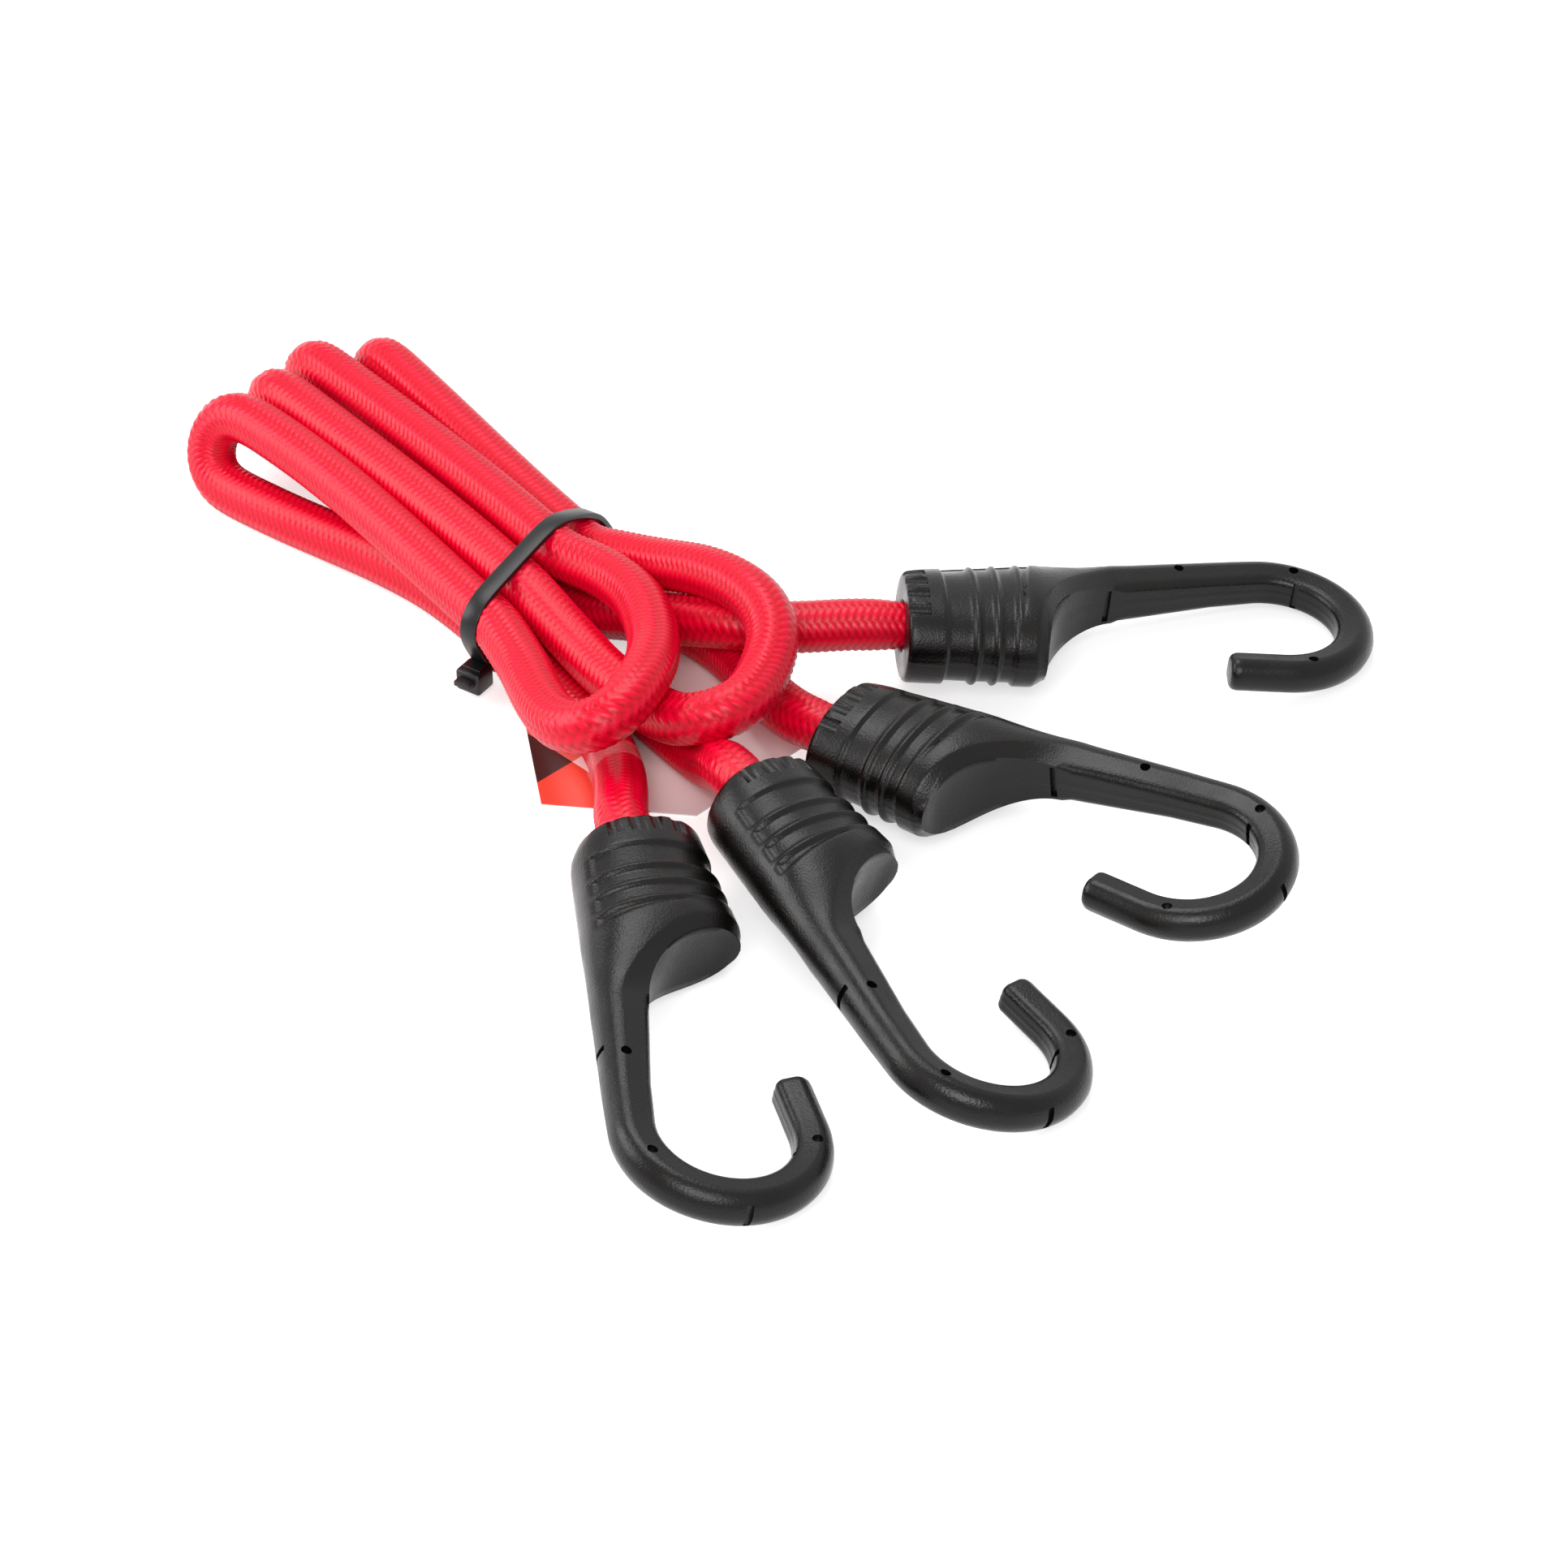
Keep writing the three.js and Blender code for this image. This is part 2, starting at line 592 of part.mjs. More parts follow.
function cableTie() {
  const outer = strapOutline(STRAP_THICKNESS);
  const strap = slab(outer, strapOutline(0), STRAP_WIDTH);
  const low = Math.min(...outer.map((spot) => spot.y)) + HEAD_LIFT;
  const nearSide = outer.filter((spot) => spot.y < low + HEAD_HEIGHT).map((spot) => spot.x);
  const right = Math.min(...nearSide) - STRAP_THICKNESS / 2;
  const left = right - HEAD_LENGTH;
  const high = low + HEAD_HEIGHT;
  const cut = HEAD_CHAMFER;
  const head = slab([
    [left + cut, low], [right, low], [right, high], [left + cut, high], [left, high - cut], [left, low + cut],
  ].map((spot) => new THREE.Vector2(...spot)), null, HEAD_WIDTH);
  const middle = (low + high) / 2;
  const tail = slab([
    [left - TAIL_LENGTH, middle], [right, middle],
    [right, middle + STRAP_THICKNESS], [left - TAIL_LENGTH, middle + STRAP_THICKNESS],
  ].map((spot) => new THREE.Vector2(...spot)), null, STRAP_WIDTH);
  const tie = named('cable_tie', geometryOf(strap.add(head).add(tail)), material(0x141416, 0.4, 0));
  tie.position.set(...TIE_CENTRE, 0);
  tie.rotation.z = degToRad(TIE_BEARING);
  return tie;
}

// Label: a flat card on the ground and the clear sleeve that hangs it on one cord
function labelCard() {
  const shape = new THREE.Shape(CARD_CORNERS.map((spot) => new THREE.Vector2(...spot)));
  const card = new THREE.ExtrudeGeometry(shape, { depth: CARD_THICKNESS, bevelEnabled: false });
  return named('label_card', geometryOf(solidOf(card)), material(0xf2eeec, 0.35, 0));
}

function labelSleeve(path) {
  const inner = CORD_DIAMETER / 2 + SLEEVE_PLAY;
  const outer = inner + SLEEVE_WALL;
  const half = SLEEVE_LENGTH / 2;
  const ring = mergeVertices(revolved(
    [[inner, -half], [outer, -half], [outer, half], [inner, half], [inner, -half]], FERRULE_SIDES));
  const sleeve = named('label_clear_sleeve', ring, material(0xf6d9d6, 0.15, 0));
  const from = path[SLEEVE_SEGMENT];
  const to = path[SLEEVE_SEGMENT + 1];
  sleeve.position.copy(from).lerp(to, 0.5);
  sleeve.quaternion.setFromUnitVectors(new THREE.Vector3(1, 0, 0), to.clone().sub(from).normalize());
  return sleeve;
}

const rigid = new THREE.Group();
HOOKS.forEach((place, k) => rigid.add(hookGroup(place, k + 1)));
rigid.add(cableTie(), labelCard());

const cords = new THREE.Group();
for (const cord of CORDS) {
  const hank = hankPath(cord);
  console.log(`${cord.name} hank: least gap to itself ${selfGap(hank).toFixed(2)} mm`);
  cords.add(...cordPieces(`${cord.name}_hank`, hank));
  [cord.first, cord.second].forEach((loop, k) => {
    const end = cord.ends[k];
    const path = endPath(end, loop.column);
    cords.add(...cordPieces(`${cord.name}_end_${end.hook}`, path));
    if (end.hook === HOOKS.length) {
      rigid.add(labelSleeve(path));
    }
  });
}

// The origin is on the ground under the middle of the hooks, tie and label
const box = new THREE.Box3().setFromObject(rigid, true);
const middle = box.getCenter(new THREE.Vector3());
const assembly = new THREE.Group();
assembly.add(rigid, cords);
assembly.position.set(-middle.x, -middle.y, -box.min.z);

const bungeeCords = new THREE.Group();
bungeeCords.add(assembly);

export default bungeeCords;
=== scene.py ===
import json
from math import cos, pi, radians, sin, tan

import bpy
import numpy as np
from mathutils import Euler, Matrix, Vector


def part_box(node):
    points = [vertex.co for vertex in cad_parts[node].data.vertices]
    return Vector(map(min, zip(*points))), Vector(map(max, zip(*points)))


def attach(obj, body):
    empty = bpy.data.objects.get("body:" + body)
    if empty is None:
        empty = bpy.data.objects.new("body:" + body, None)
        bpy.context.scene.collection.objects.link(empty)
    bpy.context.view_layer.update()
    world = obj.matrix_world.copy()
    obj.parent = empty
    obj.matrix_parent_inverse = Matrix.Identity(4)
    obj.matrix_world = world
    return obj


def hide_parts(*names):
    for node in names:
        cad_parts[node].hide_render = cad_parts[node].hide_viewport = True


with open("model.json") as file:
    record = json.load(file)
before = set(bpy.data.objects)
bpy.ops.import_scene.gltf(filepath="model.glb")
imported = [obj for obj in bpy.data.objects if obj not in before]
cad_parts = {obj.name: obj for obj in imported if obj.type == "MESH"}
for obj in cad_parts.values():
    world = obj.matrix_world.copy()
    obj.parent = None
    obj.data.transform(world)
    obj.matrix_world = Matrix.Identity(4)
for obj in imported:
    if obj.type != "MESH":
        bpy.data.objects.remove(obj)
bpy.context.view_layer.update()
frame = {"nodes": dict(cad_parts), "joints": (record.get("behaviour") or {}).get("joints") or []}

MM = 0.001

# Where the hooks lie, in the drawing's frame: mouth centre in mm, then yaw, pitch and roll in degrees
HOOK_PLACES = [
    ((22, 31.3, 13.2), (4.6, 5.7, 178.7)),
    ((10.4, 1.4, 10.3), (-35.5, -1.4, 185.8)),
    ((-4.9, -21.9, 14.1), (-54.7, 5.5, -13.8)),
    ((-26.5, -33.8, 11), (-74.1, 3.1, -12.1)),
]
hinges = {joint["name"]: Vector(joint["pos_m"]) for joint in frame["joints"]}
SHIFT = hinges["hook_1_swivel"] - Vector(HOOK_PLACES[0][0]) * MM


def placed(spot):
    """A point of the drawing, in mm, as a point of the row frame, in metres."""
    return Vector(spot) * MM + SHIFT


# Camera: the photograph's viewing angle
CAMERA_DISTANCE = 826.8
CAMERA_ELEVATION = 38.16
FOCAL_PIXELS = 5526
PHOTO_SIDE = 1932
SENSOR = 36

bpy.ops.object.select_all(action="DESELECT")
bpy.ops.object.camera_add()
camera = bpy.context.object
camera.name = "photo_camera"
tilt = radians(CAMERA_ELEVATION)
camera.location = placed((0, -CAMERA_DISTANCE * cos(tilt), CAMERA_DISTANCE * sin(tilt)))
camera.rotation_euler = (pi / 2 - tilt, 0, 0)
camera.data.sensor_width = SENSOR
camera.data.lens = FOCAL_PIXELS / PHOTO_SIDE * SENSOR
bpy.context.scene.camera = camera


# Meshes laid as rings: the hooks' hollow curves and the cords' braid have no primitive to start from
def skin(name, rings):
    """A closed mesh over rings of equal point counts, in mm, with a flat face on each end."""
    rings = np.asarray(rings, float)
    rows, count, _ = rings.shape
    row, side = np.meshgrid(np.arange(rows - 1), np.arange(count), indexing="ij")
    after = (side + 1) % count
    low, high = row * count, (row + 1) * count
    quads = np.stack([low + side, low + after, high + after, high + side], axis=-1)
    faces = quads.reshape(-1, 4).tolist()
    faces.append(list(range(count))[::-1])
    faces.append([(rows - 1) * count + k for k in range(count)])
    mesh = bpy.data.meshes.new(name)
    mesh.from_pydata((rings.reshape(-1, 3) * MM).tolist(), [], faces)
    mesh.polygons.foreach_set("use_smooth", np.ones(len(mesh.polygons), bool))
    piece = bpy.data.objects.new(name, mesh)
    bpy.context.scene.collection.objects.link(piece)
    return piece


def pick(*pieces):
    """Selects these pieces alone, the first of them active."""
    bpy.ops.object.select_all(action="DESELECT")
    for piece in pieces:
        piece.select_set(True)
    bpy.context.view_layer.objects.active = pieces[0]


# Cords: the routes of the solids, in mm, from the inside of one hook to the inside of the other
CORD_DIAMETER = 9.4
CORD_SIDES = 50
YARNS = 10
YARN_PITCH = 1.45
RINGS_PER_PITCH = 4
YARN_BULGE = 0.32
YARN_LIFT = 0.2
FLOAT_PHASE = 0.25
MOUTH_DEPTH = 18.3
SHOULDER_LENGTH = 8
SHOULDER_IN_MOUTH = 0.1
NECK_SHARE = 0.88
NEAREST_POINTS = 1.0
ROUTE_STEPS = 24
SMOOTHING_PASSES = 60
CORD_ROUTES = {
    "cord_a": [
        (40.15, 32.76, 11.38), (13.27, 30.6, 14.07), (5.27, 29.64, 14.27), (-2.77, 29.22, 14.4),
        (-10.72, 30.4, 14.47), (-17.94, 33.55, 12.94), (-24.39, 37.71, 10.5), (-30.94, 41.85, 8.27),
        (-37.45, 46.07, 6.07), (-42.41, 53.16, 6.07), (-42.58, 53.4, 6.07), (-47.54, 60.49, 6.07),
        (-56.23, 72.08, 5.93), (-65.11, 82.65, 5.59), (-74.19, 92.79, 5.18), (-83.48, 103.05, 4.84),
        (-93, 114, 4.7), (-94.6, 115.91, 5.19), (-95.95, 117.52, 6.6), (-96.86, 118.6, 8.71),
        (-97.18, 118.98, 11.2), (-96.86, 118.6, 13.69), (-95.95, 117.52, 15.8), (-94.6, 115.91, 17.21),
        (-93, 114, 17.7), (-83.37, 102.36, 17.74), (-73.81, 90.46, 17.82), (-64.42, 78.37, 17.92),
        (-55.28, 66.16, 18), (-46.48, 53.88, 18.04), (-41.89, 47.32, 18.04), (-38.13, 44.46, 18.24),
        (-34.49, 41.45, 18.48), (-31.46, 37.85, 18.92), (-28.94, 33.89, 19.49), (-26.94, 29.65, 20.01),
        (-25.52, 25.14, 20.34), (-24.56, 20.52, 20.6), (-23.99, 15.83, 21.02), (-23.9, 11.18, 21.8),
        (-24.33, 6.55, 22.65), (-25.25, 1.95, 23.24), (-26.78, -2.52, 23.51), (-29.02, -6.65, 23.08),
        (-32.53, -9.35, 21.78), (-36.73, -8.97, 19.84), (-39.86, -5.9, 18.15), (-42.13, -1.95, 16.93),
        (-43.78, 2.41, 16.1), (-45.25, 6.85, 15.4), (-46.55, 11.36, 14.81), (-47.92, 15.87, 14.39),
        (-49.62, 20.28, 14.27), (-51.57, 24.59, 14.46), (-53.56, 28.88, 14.7), (-58.14, 35.43, 14.7),
        (-66.94, 47.78, 15.05), (-76.15, 60.08, 15.9), (-85.82, 72.1, 16.91), (-95.98, 83.58, 17.75),
        (-106.67, 94.29, 18.11), (-108.9, 96.04, 17.6), (-111.12, 97.19, 16.14), (-112.98, 97.54, 13.97),
        (-114.21, 97.05, 11.4), (-114.62, 95.79, 8.83), (-114.14, 93.95, 6.66), (-112.84, 91.82, 5.2),
        (-110.93, 89.71, 4.69), (-99.83, 80.3, 4.84), (-88.69, 71.88, 5.18), (-77.85, 63.53, 5.59),
        (-67.66, 54.29, 5.93), (-58.45, 43.23, 6.07), (-53.49, 36.14, 6.07), (-53.32, 35.9, 6.07),
        (-48.36, 28.81, 6.07), (-43.22, 22.03, 5), (-38.21, 15.08, 4.76), (-33.87, 7.71, 5.02),
        (-31.25, -0.39, 5.96), (-29.84, -8.7, 7.49), (-29.3, -17.03, 9.45), (-28.91, -25.35, 11.48),
        (-21.49, -51.37, 10.01),
    ],
    "cord_b": [
        (25.29, -9.22, 10.75), (3.24, 6.51, 10.08), (-0.93, 13.91, 7.93), (-4.74, 21.62, 6.32),
        (-8.11, 29.63, 5.26), (-12.73, 37.01, 4.7), (-19, 43.11, 4.79), (-25.41, 49.07, 5.27),
        (-31.81, 55, 6.07), (-36.77, 62.08, 6.07), (-36.94, 62.33, 6.07), (-41.9, 69.41, 6.07),
        (-50.03, 80.13, 5.93), (-57.48, 88.69, 5.59), (-64.68, 96.55, 5.18), (-72.05, 105.16, 4.84),
        (-80, 116, 4.7), (-81.33, 117.97, 5.17), (-82.45, 119.63, 6.52), (-83.2, 120.75, 8.53),
        (-83.47, 121.14, 10.9), (-83.2, 120.75, 13.27), (-82.45, 119.63, 15.28), (-81.33, 117.97, 16.63),
        (-80, 116, 17.1), (-72.02, 104.34, 16.79), (-64.6, 93.75, 16.04), (-57.34, 83.54, 15.14),
        (-49.84, 73.01, 14.39), (-41.69, 61.46, 14.08), (-37.1, 54.91, 14.08), (-32.6, 51.53, 15.34),
        (-28.13, 48.13, 16.62), (-23.84, 44.6, 18.15), (-19.71, 41.02, 20), (-15.71, 37.3, 21.84),
        (-11.87, 33.24, 23.26), (-8.24, 28.88, 24.24), (-5.04, 24.08, 24.6), (-2.69, 18.92, 23.83),
        (-2.04, 13.4, 22.44), (-3.31, 8.03, 20.82), (-5.18, 2.63, 20.23), (-7.88, -2.43, 20.29),
        (-12.96, -4.72, 19.31), (-17.95, -3.25, 17.35), (-21.12, 0.93, 15), (-24.5, 5.35, 13.56),
        (-28.05, 9.86, 13.06), (-31.53, 14.46, 12.93), (-34.79, 19.22, 12.88), (-37.88, 24.05, 13.28),
        (-41.2, 28.68, 14.19), (-44.56, 33.24, 15.29), (-47.91, 37.8, 16.37), (-52.5, 44.36, 16.37),
        (-61.4, 56.52, 16.51), (-70.78, 68.48, 16.85), (-80.46, 80.25, 17.25), (-90.26, 91.89, 17.59),
        (-99.99, 103.42, 17.74), (-101.54, 105.37, 17.25), (-102.74, 107.11, 15.85),
        (-103.43, 108.38, 13.76), (-103.48, 108.98, 11.3), (-102.89, 108.82, 8.84), (-101.76, 107.93, 6.75),
        (-100.26, 106.44, 5.35), (-98.61, 104.58, 4.86), (-89.07, 93.71, 4.99), (-79.74, 83.65, 5.29),
        (-70.62, 73.75, 5.65), (-61.7, 63.37, 5.95), (-53, 51.86, 6.07), (-48.04, 44.77, 6.07),
        (-47.86, 44.53, 6.07), (-42.9, 37.44, 6.07), (-36.97, 30.4, 5.1), (-31.2, 23.17, 4.8),
        (-25.59, 15.8, 4.88), (-20.1, 8.34, 4.84), (-15.33, 0.57, 6.12), (-12.4, -7.16, 10.24),
        (-9.96, -14.75, 14.94), (5.63, -36.77, 12.35),
    ],
}
CORD_HOOKS = {"cord_a": (1, 4), "cord_b": (2, 3)}


def evenly(line, step):
    """The line again with points the same distance apart, about step."""
    gaps = np.linalg.norm(np.diff(line, axis=0), axis=1)
    travel = np.concatenate([[0], np.cumsum(gaps)])
    marks = np.linspace(0, travel[-1], round(travel[-1] / step) + 1)
    return np.stack([np.interp(marks, travel, line[:, axis]) for axis in range(3)], axis=1)


def cord_line(route):
    """One smooth curve through a route's points, in mm, with a ring every quarter of a yarn pitch."""
    kept = [np.array(route[0], float)]
    for spot in route[1:]:
        if np.linalg.norm(np.array(spot) - kept[-1]) > NEAREST_POINTS:
            kept.append(np.array(spot, float))
    points = np.array(kept)
    span = np.sqrt(np.linalg.norm(np.diff(points, axis=0), axis=1))
    slope = np.diff(points, axis=0) / span[:, None]
    before, after = span[:-1, None], span[1:, None]
    inner = (slope[:-1] * after + slope[1:] * before) / (before + after)
    tangents = np.concatenate([slope[:1], inner, slope[-1:]])
    fine = []
    for k, width in enumerate(span):
        for t in np.linspace(0, 1, ROUTE_STEPS, endpoint=False):
            fine.append(
                points[k] * (1 + 2 * t) * (1 - t) ** 2
                + points[k + 1] * t * t * (3 - 2 * t)
                + tangents[k] * width * t * (1 - t) ** 2
                - tangents[k + 1] * width * t * t * (1 - t)
            )
    fine.append(points[-1])
    line = evenly(np.array(fine), YARN_PITCH / RINGS_PER_PITCH)
    for _ in range(SMOOTHING_PASSES):
        line[1:-1] += (line[:-2] + line[2:] - 2 * line[1:-1]) / 4
    return evenly(line, YARN_PITCH / RINGS_PER_PITCH)


def yarn_heights(around, along):
    """Heights of the two sets of yarns, in mm: ten each way, two over and two under, so that floats
    lie in columns along the cord and lean the other way in the next column."""
    over = np.cos(pi * (around - FLOAT_PHASE))
    first = (around - along) % 1 - 0.5
    second = (around + along) % 1 - 0.5
    return (
        YARN_LIFT * over + YARN_BULGE * (1 - 4 * first**2),
        -YARN_LIFT * over + YARN_BULGE * (1 - 4 * second**2),
    )


def first_on_top(around, along):
    """Where the first set of yarns is the one that shows."""
    first, second = yarn_heights(around, along)
    return first > second


def fullness(count):
    """The cord's thickness along its length: the hooks' bores draw it in to a neck with a round shoulder."""
    travel = np.arange(count) * YARN_PITCH / RINGS_PER_PITCH
    from_end = np.minimum(travel, travel[-1] - travel)
    share = np.clip((from_end - MOUTH_DEPTH) / SHOULDER_LENGTH + SHOULDER_IN_MOUTH, 0, 1)
    return NECK_SHARE + (1 - NECK_SHARE) * np.sin(share * pi / 2)


def braided_cord(name, line):
    """A closed tube along the line with the braid in its surface. Each point keeps its height in the braid,
    for the shade painted into the yarn's colour, and the way its yarn runs, for the direction of its sheen."""
    tangents = np.gradient(line, axis=0)
    tangents /= np.linalg.norm(tangents, axis=1)[:, None]
    normals = np.zeros_like(line)
    normal = np.array([0.0, 0.0, 1.0])
    for k, tangent in enumerate(tangents):
        normal = normal - tangent * (normal @ tangent)
        normal /= np.linalg.norm(normal)
        normals[k] = normal
    binormals = np.cross(tangents, normals)
    turn = np.arange(CORD_SIDES) / CORD_SIDES
    around, along = np.meshgrid(turn * YARNS, np.arange(len(line)) / RINGS_PER_PITCH)
    relief = np.maximum(*yarn_heights(around, along))
    radius = CORD_DIAMETER / 2 * fullness(len(line))[:, None] - YARN_BULGE * 2 / 3 + relief
    rings = line[:, None] + radius[..., None] * (
        np.cos(2 * pi * turn)[None, :, None] * normals[:, None]
        + np.sin(2 * pi * turn)[None, :, None] * binormals[:, None]
    )
    cord = skin(name, rings + np.array(SHIFT) / MM)
    # Height in the braid, kept for the shade painted into the yarn's colour: low in the crevices
    height = cord.data.attributes.new("braid_height_for_shade", "FLOAT", "POINT")
    height.data.foreach_set("value", (relief / (YARN_LIFT + YARN_BULGE)).ravel())
    sideways = (
        np.cos(2 * pi * turn)[None, :, None] * binormals[:, None]
        - np.sin(2 * pi * turn)[None, :, None] * normals[:, None]
    )
    lean = np.where(first_on_top(around, along), 1, -1) * pi * CORD_DIAMETER / YARNS
    run = YARN_PITCH * tangents[:, None] + lean[..., None] * sideways
    run /= np.linalg.norm(run, axis=2)[..., None]
    direction = cord.data.attributes.new("yarn_run", "FLOAT_VECTOR", "POINT")
    direction.data.foreach_set("vector", run.ravel())
    return cord


cords = {}
for cord_name, route in CORD_ROUTES.items():
    line = cord_line(route)
    cord = braided_cord(cord_name + "_braid", line)
    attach(cord, "cords")
    first_hook, second_hook = CORD_HOOKS[cord_name]
    for stretch in ("hank", f"end_{first_hook}", f"end_{second_hook}"):
        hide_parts(f"{cord_name}_{stretch}_sheath", f"{cord_name}_{stretch}_rubber_core")
    cords[cord_name] = cord


# Hook: x runs from the mouth along the bore, y from the spine to the opening, z out of the parting plane
SPINE_SLOPE = radians(9)
BODY_HALF_WIDTH = 12
BODY_HALF_THICKNESS = 9.3
BODY_POWER = 2.2
MOUTH_ROUNDING = 1.0
SPINE_ROUNDING = ((0, 0.8, 2.2, 4), (1.5, 0.8, 0.25, 0))
COLLAR_END = 7.2
COLLAR_STEP = 0.5
GRIP_EDGE = 1.95
GRIP_RECESS = 0.7
RIB_SPOTS = (13, 16.9, 20.8)
RIB_SLANTS = (0.2, 0.8, 1.7)
RIB_CREST = 0.2
RIB_FOOT = 1.0
GRIP_END = 20.6
GRIP_END_SLANT = 5
GRIP_END_STEP = (0.5, 0.3)
HEEL = 24.3
HEEL_REACH = 12.9
THINNING_START = 23
RIM = 26.4
RIM_CHAMFER = 1.3
RIM_BAND = 2.3
RIM_SPAN = 5.5
RIM_EDGE = 2
BAND_WIDENS = 27.4
FACE_LEAN = 0.12
FACE_PULL = 2.8
ROOT = 42
ROOT_WIDTH = 9.5
ROOT_HALF_THICKNESS = 4.9
ROOT_CREST = 4.6
NECK_REACH = 10
NECK_POWER = 4
STRIP_DROP = 0.8
FACE_DISH = 0.5
DISH_RISE = 0.1
DISH_FADE = (0.35, 0.7)
BAND_SPAN = 3.5
BAND_SETTLED = 0.3
STEEPEST_CUT = 2
TAPER_END = 61.8
ROD_END = 69.9
ROD_WIDTH = 8
ROD_HALF_THICKNESS = 4
ROD_CREST = 3.6
ROD_POWER = 2.1
CORNER_ROUNDING = 0.9
BEND_RADIUS = 15.5
BEND_SWEEP = 190
BEND_RINGS = 44
BEND_SLIMNESS = 0.95
TIP_SLIMNESS = 0.84
TIP_LENGTH = 11
TIP_STRAIGHT = 9
TIP_ROUNDING = ((1.6, 0), (1.1, 0.08), (0.7, 0.25), (0.35, 0.55), (0.1, 1.0), (0, 1.5))
PARTING_RIDGE = 0.1
EDGE_SOFTNESS = 0.2
BORE_RINGS = ((19.3, 6.3), (6.1, 6.3), (6, 4.9), (0.5, 4.9), (0.1, 5.1), (0, 5.4))
MOUTH_STATIONS = (0, 0.1, 0.25, 0.5, 1, 1.7, 2.6, 3.6, 5, 6.4, 7.1)
GRIP_STATIONS = (*np.arange(7.3, RIM - 0.1, 0.35), RIM - 0.05)
DISH_STATIONS = (0.012, 0.03, 0.06, 0.1, 0.14, *np.linspace(0.18, 1, 24))
SHANK_RINGS = 8
TIP_RINGS = 4
# Points of a half ring: round the spine, its edge, across the face, over the band and down the inner side
RING_SHARES = (4, 1, 29, 6, 5)
# Samples that the rings are taken from, and the fewest of them across the face and over the band
FINE = 400
WALL_FINE = 60
FACE_LINE_FINE = 240
SHANK_LINE_FINE = 160
FACE_STEP = 0.01
FEWEST_ON_FACE = 20
FEWEST_ON_BAND = 5


def ease(value, low, high):
    """0 below low, 1 above high and smooth between them."""
    part = np.clip((value - low) / (high - low), 0, 1)
    return part * part * (3 - 2 * part)


def mixed(low, high, part):
    """What lies between low and high, by a share of the way."""
    return low + (high - low) * part


def spine(x):
    """The line of the hook's spine."""
    return -BODY_HALF_WIDTH - x * tan(SPINE_SLOPE)


def inner_side(x):
    """The line of the body's side that faces the opening."""
    return mixed(BODY_HALF_WIDTH, HEEL_REACH, x / HEEL)


def arc(offset, power):
    """Height of a rounded-square arc, as a share, at an offset from its crest, as a share."""
    return (1 - np.clip(np.abs(offset), 0, 1) ** power) ** (1 / power)


face_rim = np.array([RIM, HEEL_REACH - RIM_CHAMFER])
face_root = np.array([ROOT, spine(ROOT) + ROOT_WIDTH])
face_pull = np.array([mixed(RIM, ROOT, FACE_LEAN), face_root[1] + FACE_PULL])


def face_point(part):
    """The end face's line, from the rim at 0 to the root of the shank at 1."""
    part = np.asarray(part, float)[..., None]
    return face_rim * (1 - part) ** 2 + face_pull * 2 * part * (1 - part) + face_root * part**2


taper_point = np.array([TAPER_END, spine(TAPER_END) + ROD_WIDTH])
inner_line = np.concatenate([
    face_point(np.linspace(0, 1, FACE_LINE_FINE)),
    mixed(face_root, taper_point, np.linspace(0, 1, SHANK_LINE_FINE)[:, None]),
])


def edge_distance(x, y):
    """Distance in the parting plane from points to the line of the end face and the shank."""
    return np.hypot(x[:, None] - inner_line[None, :, 0], y[:, None] - inner_line[None, :, 1]).min(axis=1)


def band_inset(x, y):
    """The bevelled band round the end face, which widens into the flat strip along the shank."""
    part = ease(x, BAND_WIDENS, ROOT)
    width = mixed(RIM_BAND, ROOT_WIDTH - ROOT_CREST, part)
    return mixed(RIM_CHAMFER, STRIP_DROP, part) * np.clip(1 - edge_distance(x, y) / width, 0, 1)


def grip_inset(x, y):
    """The grip's recess on the faces and the inner side, with three ribs standing in it."""
    across = (inner_side(x) - y) / (inner_side(x) - spine(x))
    inside = ease(y - spine(x), GRIP_EDGE - EDGE_SOFTNESS, GRIP_EDGE + EDGE_SOFTNESS)
    end = GRIP_END + GRIP_END_SLANT * across
    before, after = GRIP_END_STEP
    depth = inside * ease(x, COLLAR_END, COLLAR_END + COLLAR_STEP) * (1 - ease(x, end - before, end + after))
    for spot, slant in zip(RIB_SPOTS, RIB_SLANTS):
        depth = depth * ease(np.abs(x - spot - slant * across), RIB_CREST, RIB_FOOT)
    return GRIP_RECESS * depth


def resampled(profile, breaks):
    """The upper half of a ring as fixed numbers of points between the breaks, then its lower half."""
    travel = np.concatenate([[0], np.cumsum(np.linalg.norm(np.diff(profile, axis=0), axis=1))])
    marks = [travel[0]]
    stops = [0, *breaks, len(profile) - 1]
    for share, start, stop in zip(RING_SHARES, stops, stops[1:]):
        marks.extend(mixed(travel[start], travel[stop], np.arange(1, share + 1) / share))
    upper = np.stack([np.interp(marks, travel, profile[:, axis]) for axis in range(3)], axis=1)
    lower = upper[-2:0:-1] * (1, 1, -1)
    ring = np.concatenate([upper, lower])
    middle = ring.mean(axis=0)
    for spot in (0, len(upper) - 1):
        outward = ring[spot] - middle
        ring[spot] += PARTING_RIDGE * outward / np.linalg.norm(outward)
    return ring


def at_spine_offset(profile, origin, offset):
    """First point of a profile farther from its spine than the offset."""
    away = np.linalg.norm(profile[:, :2] - origin, axis=1)
    return int(np.argmax(away > offset))


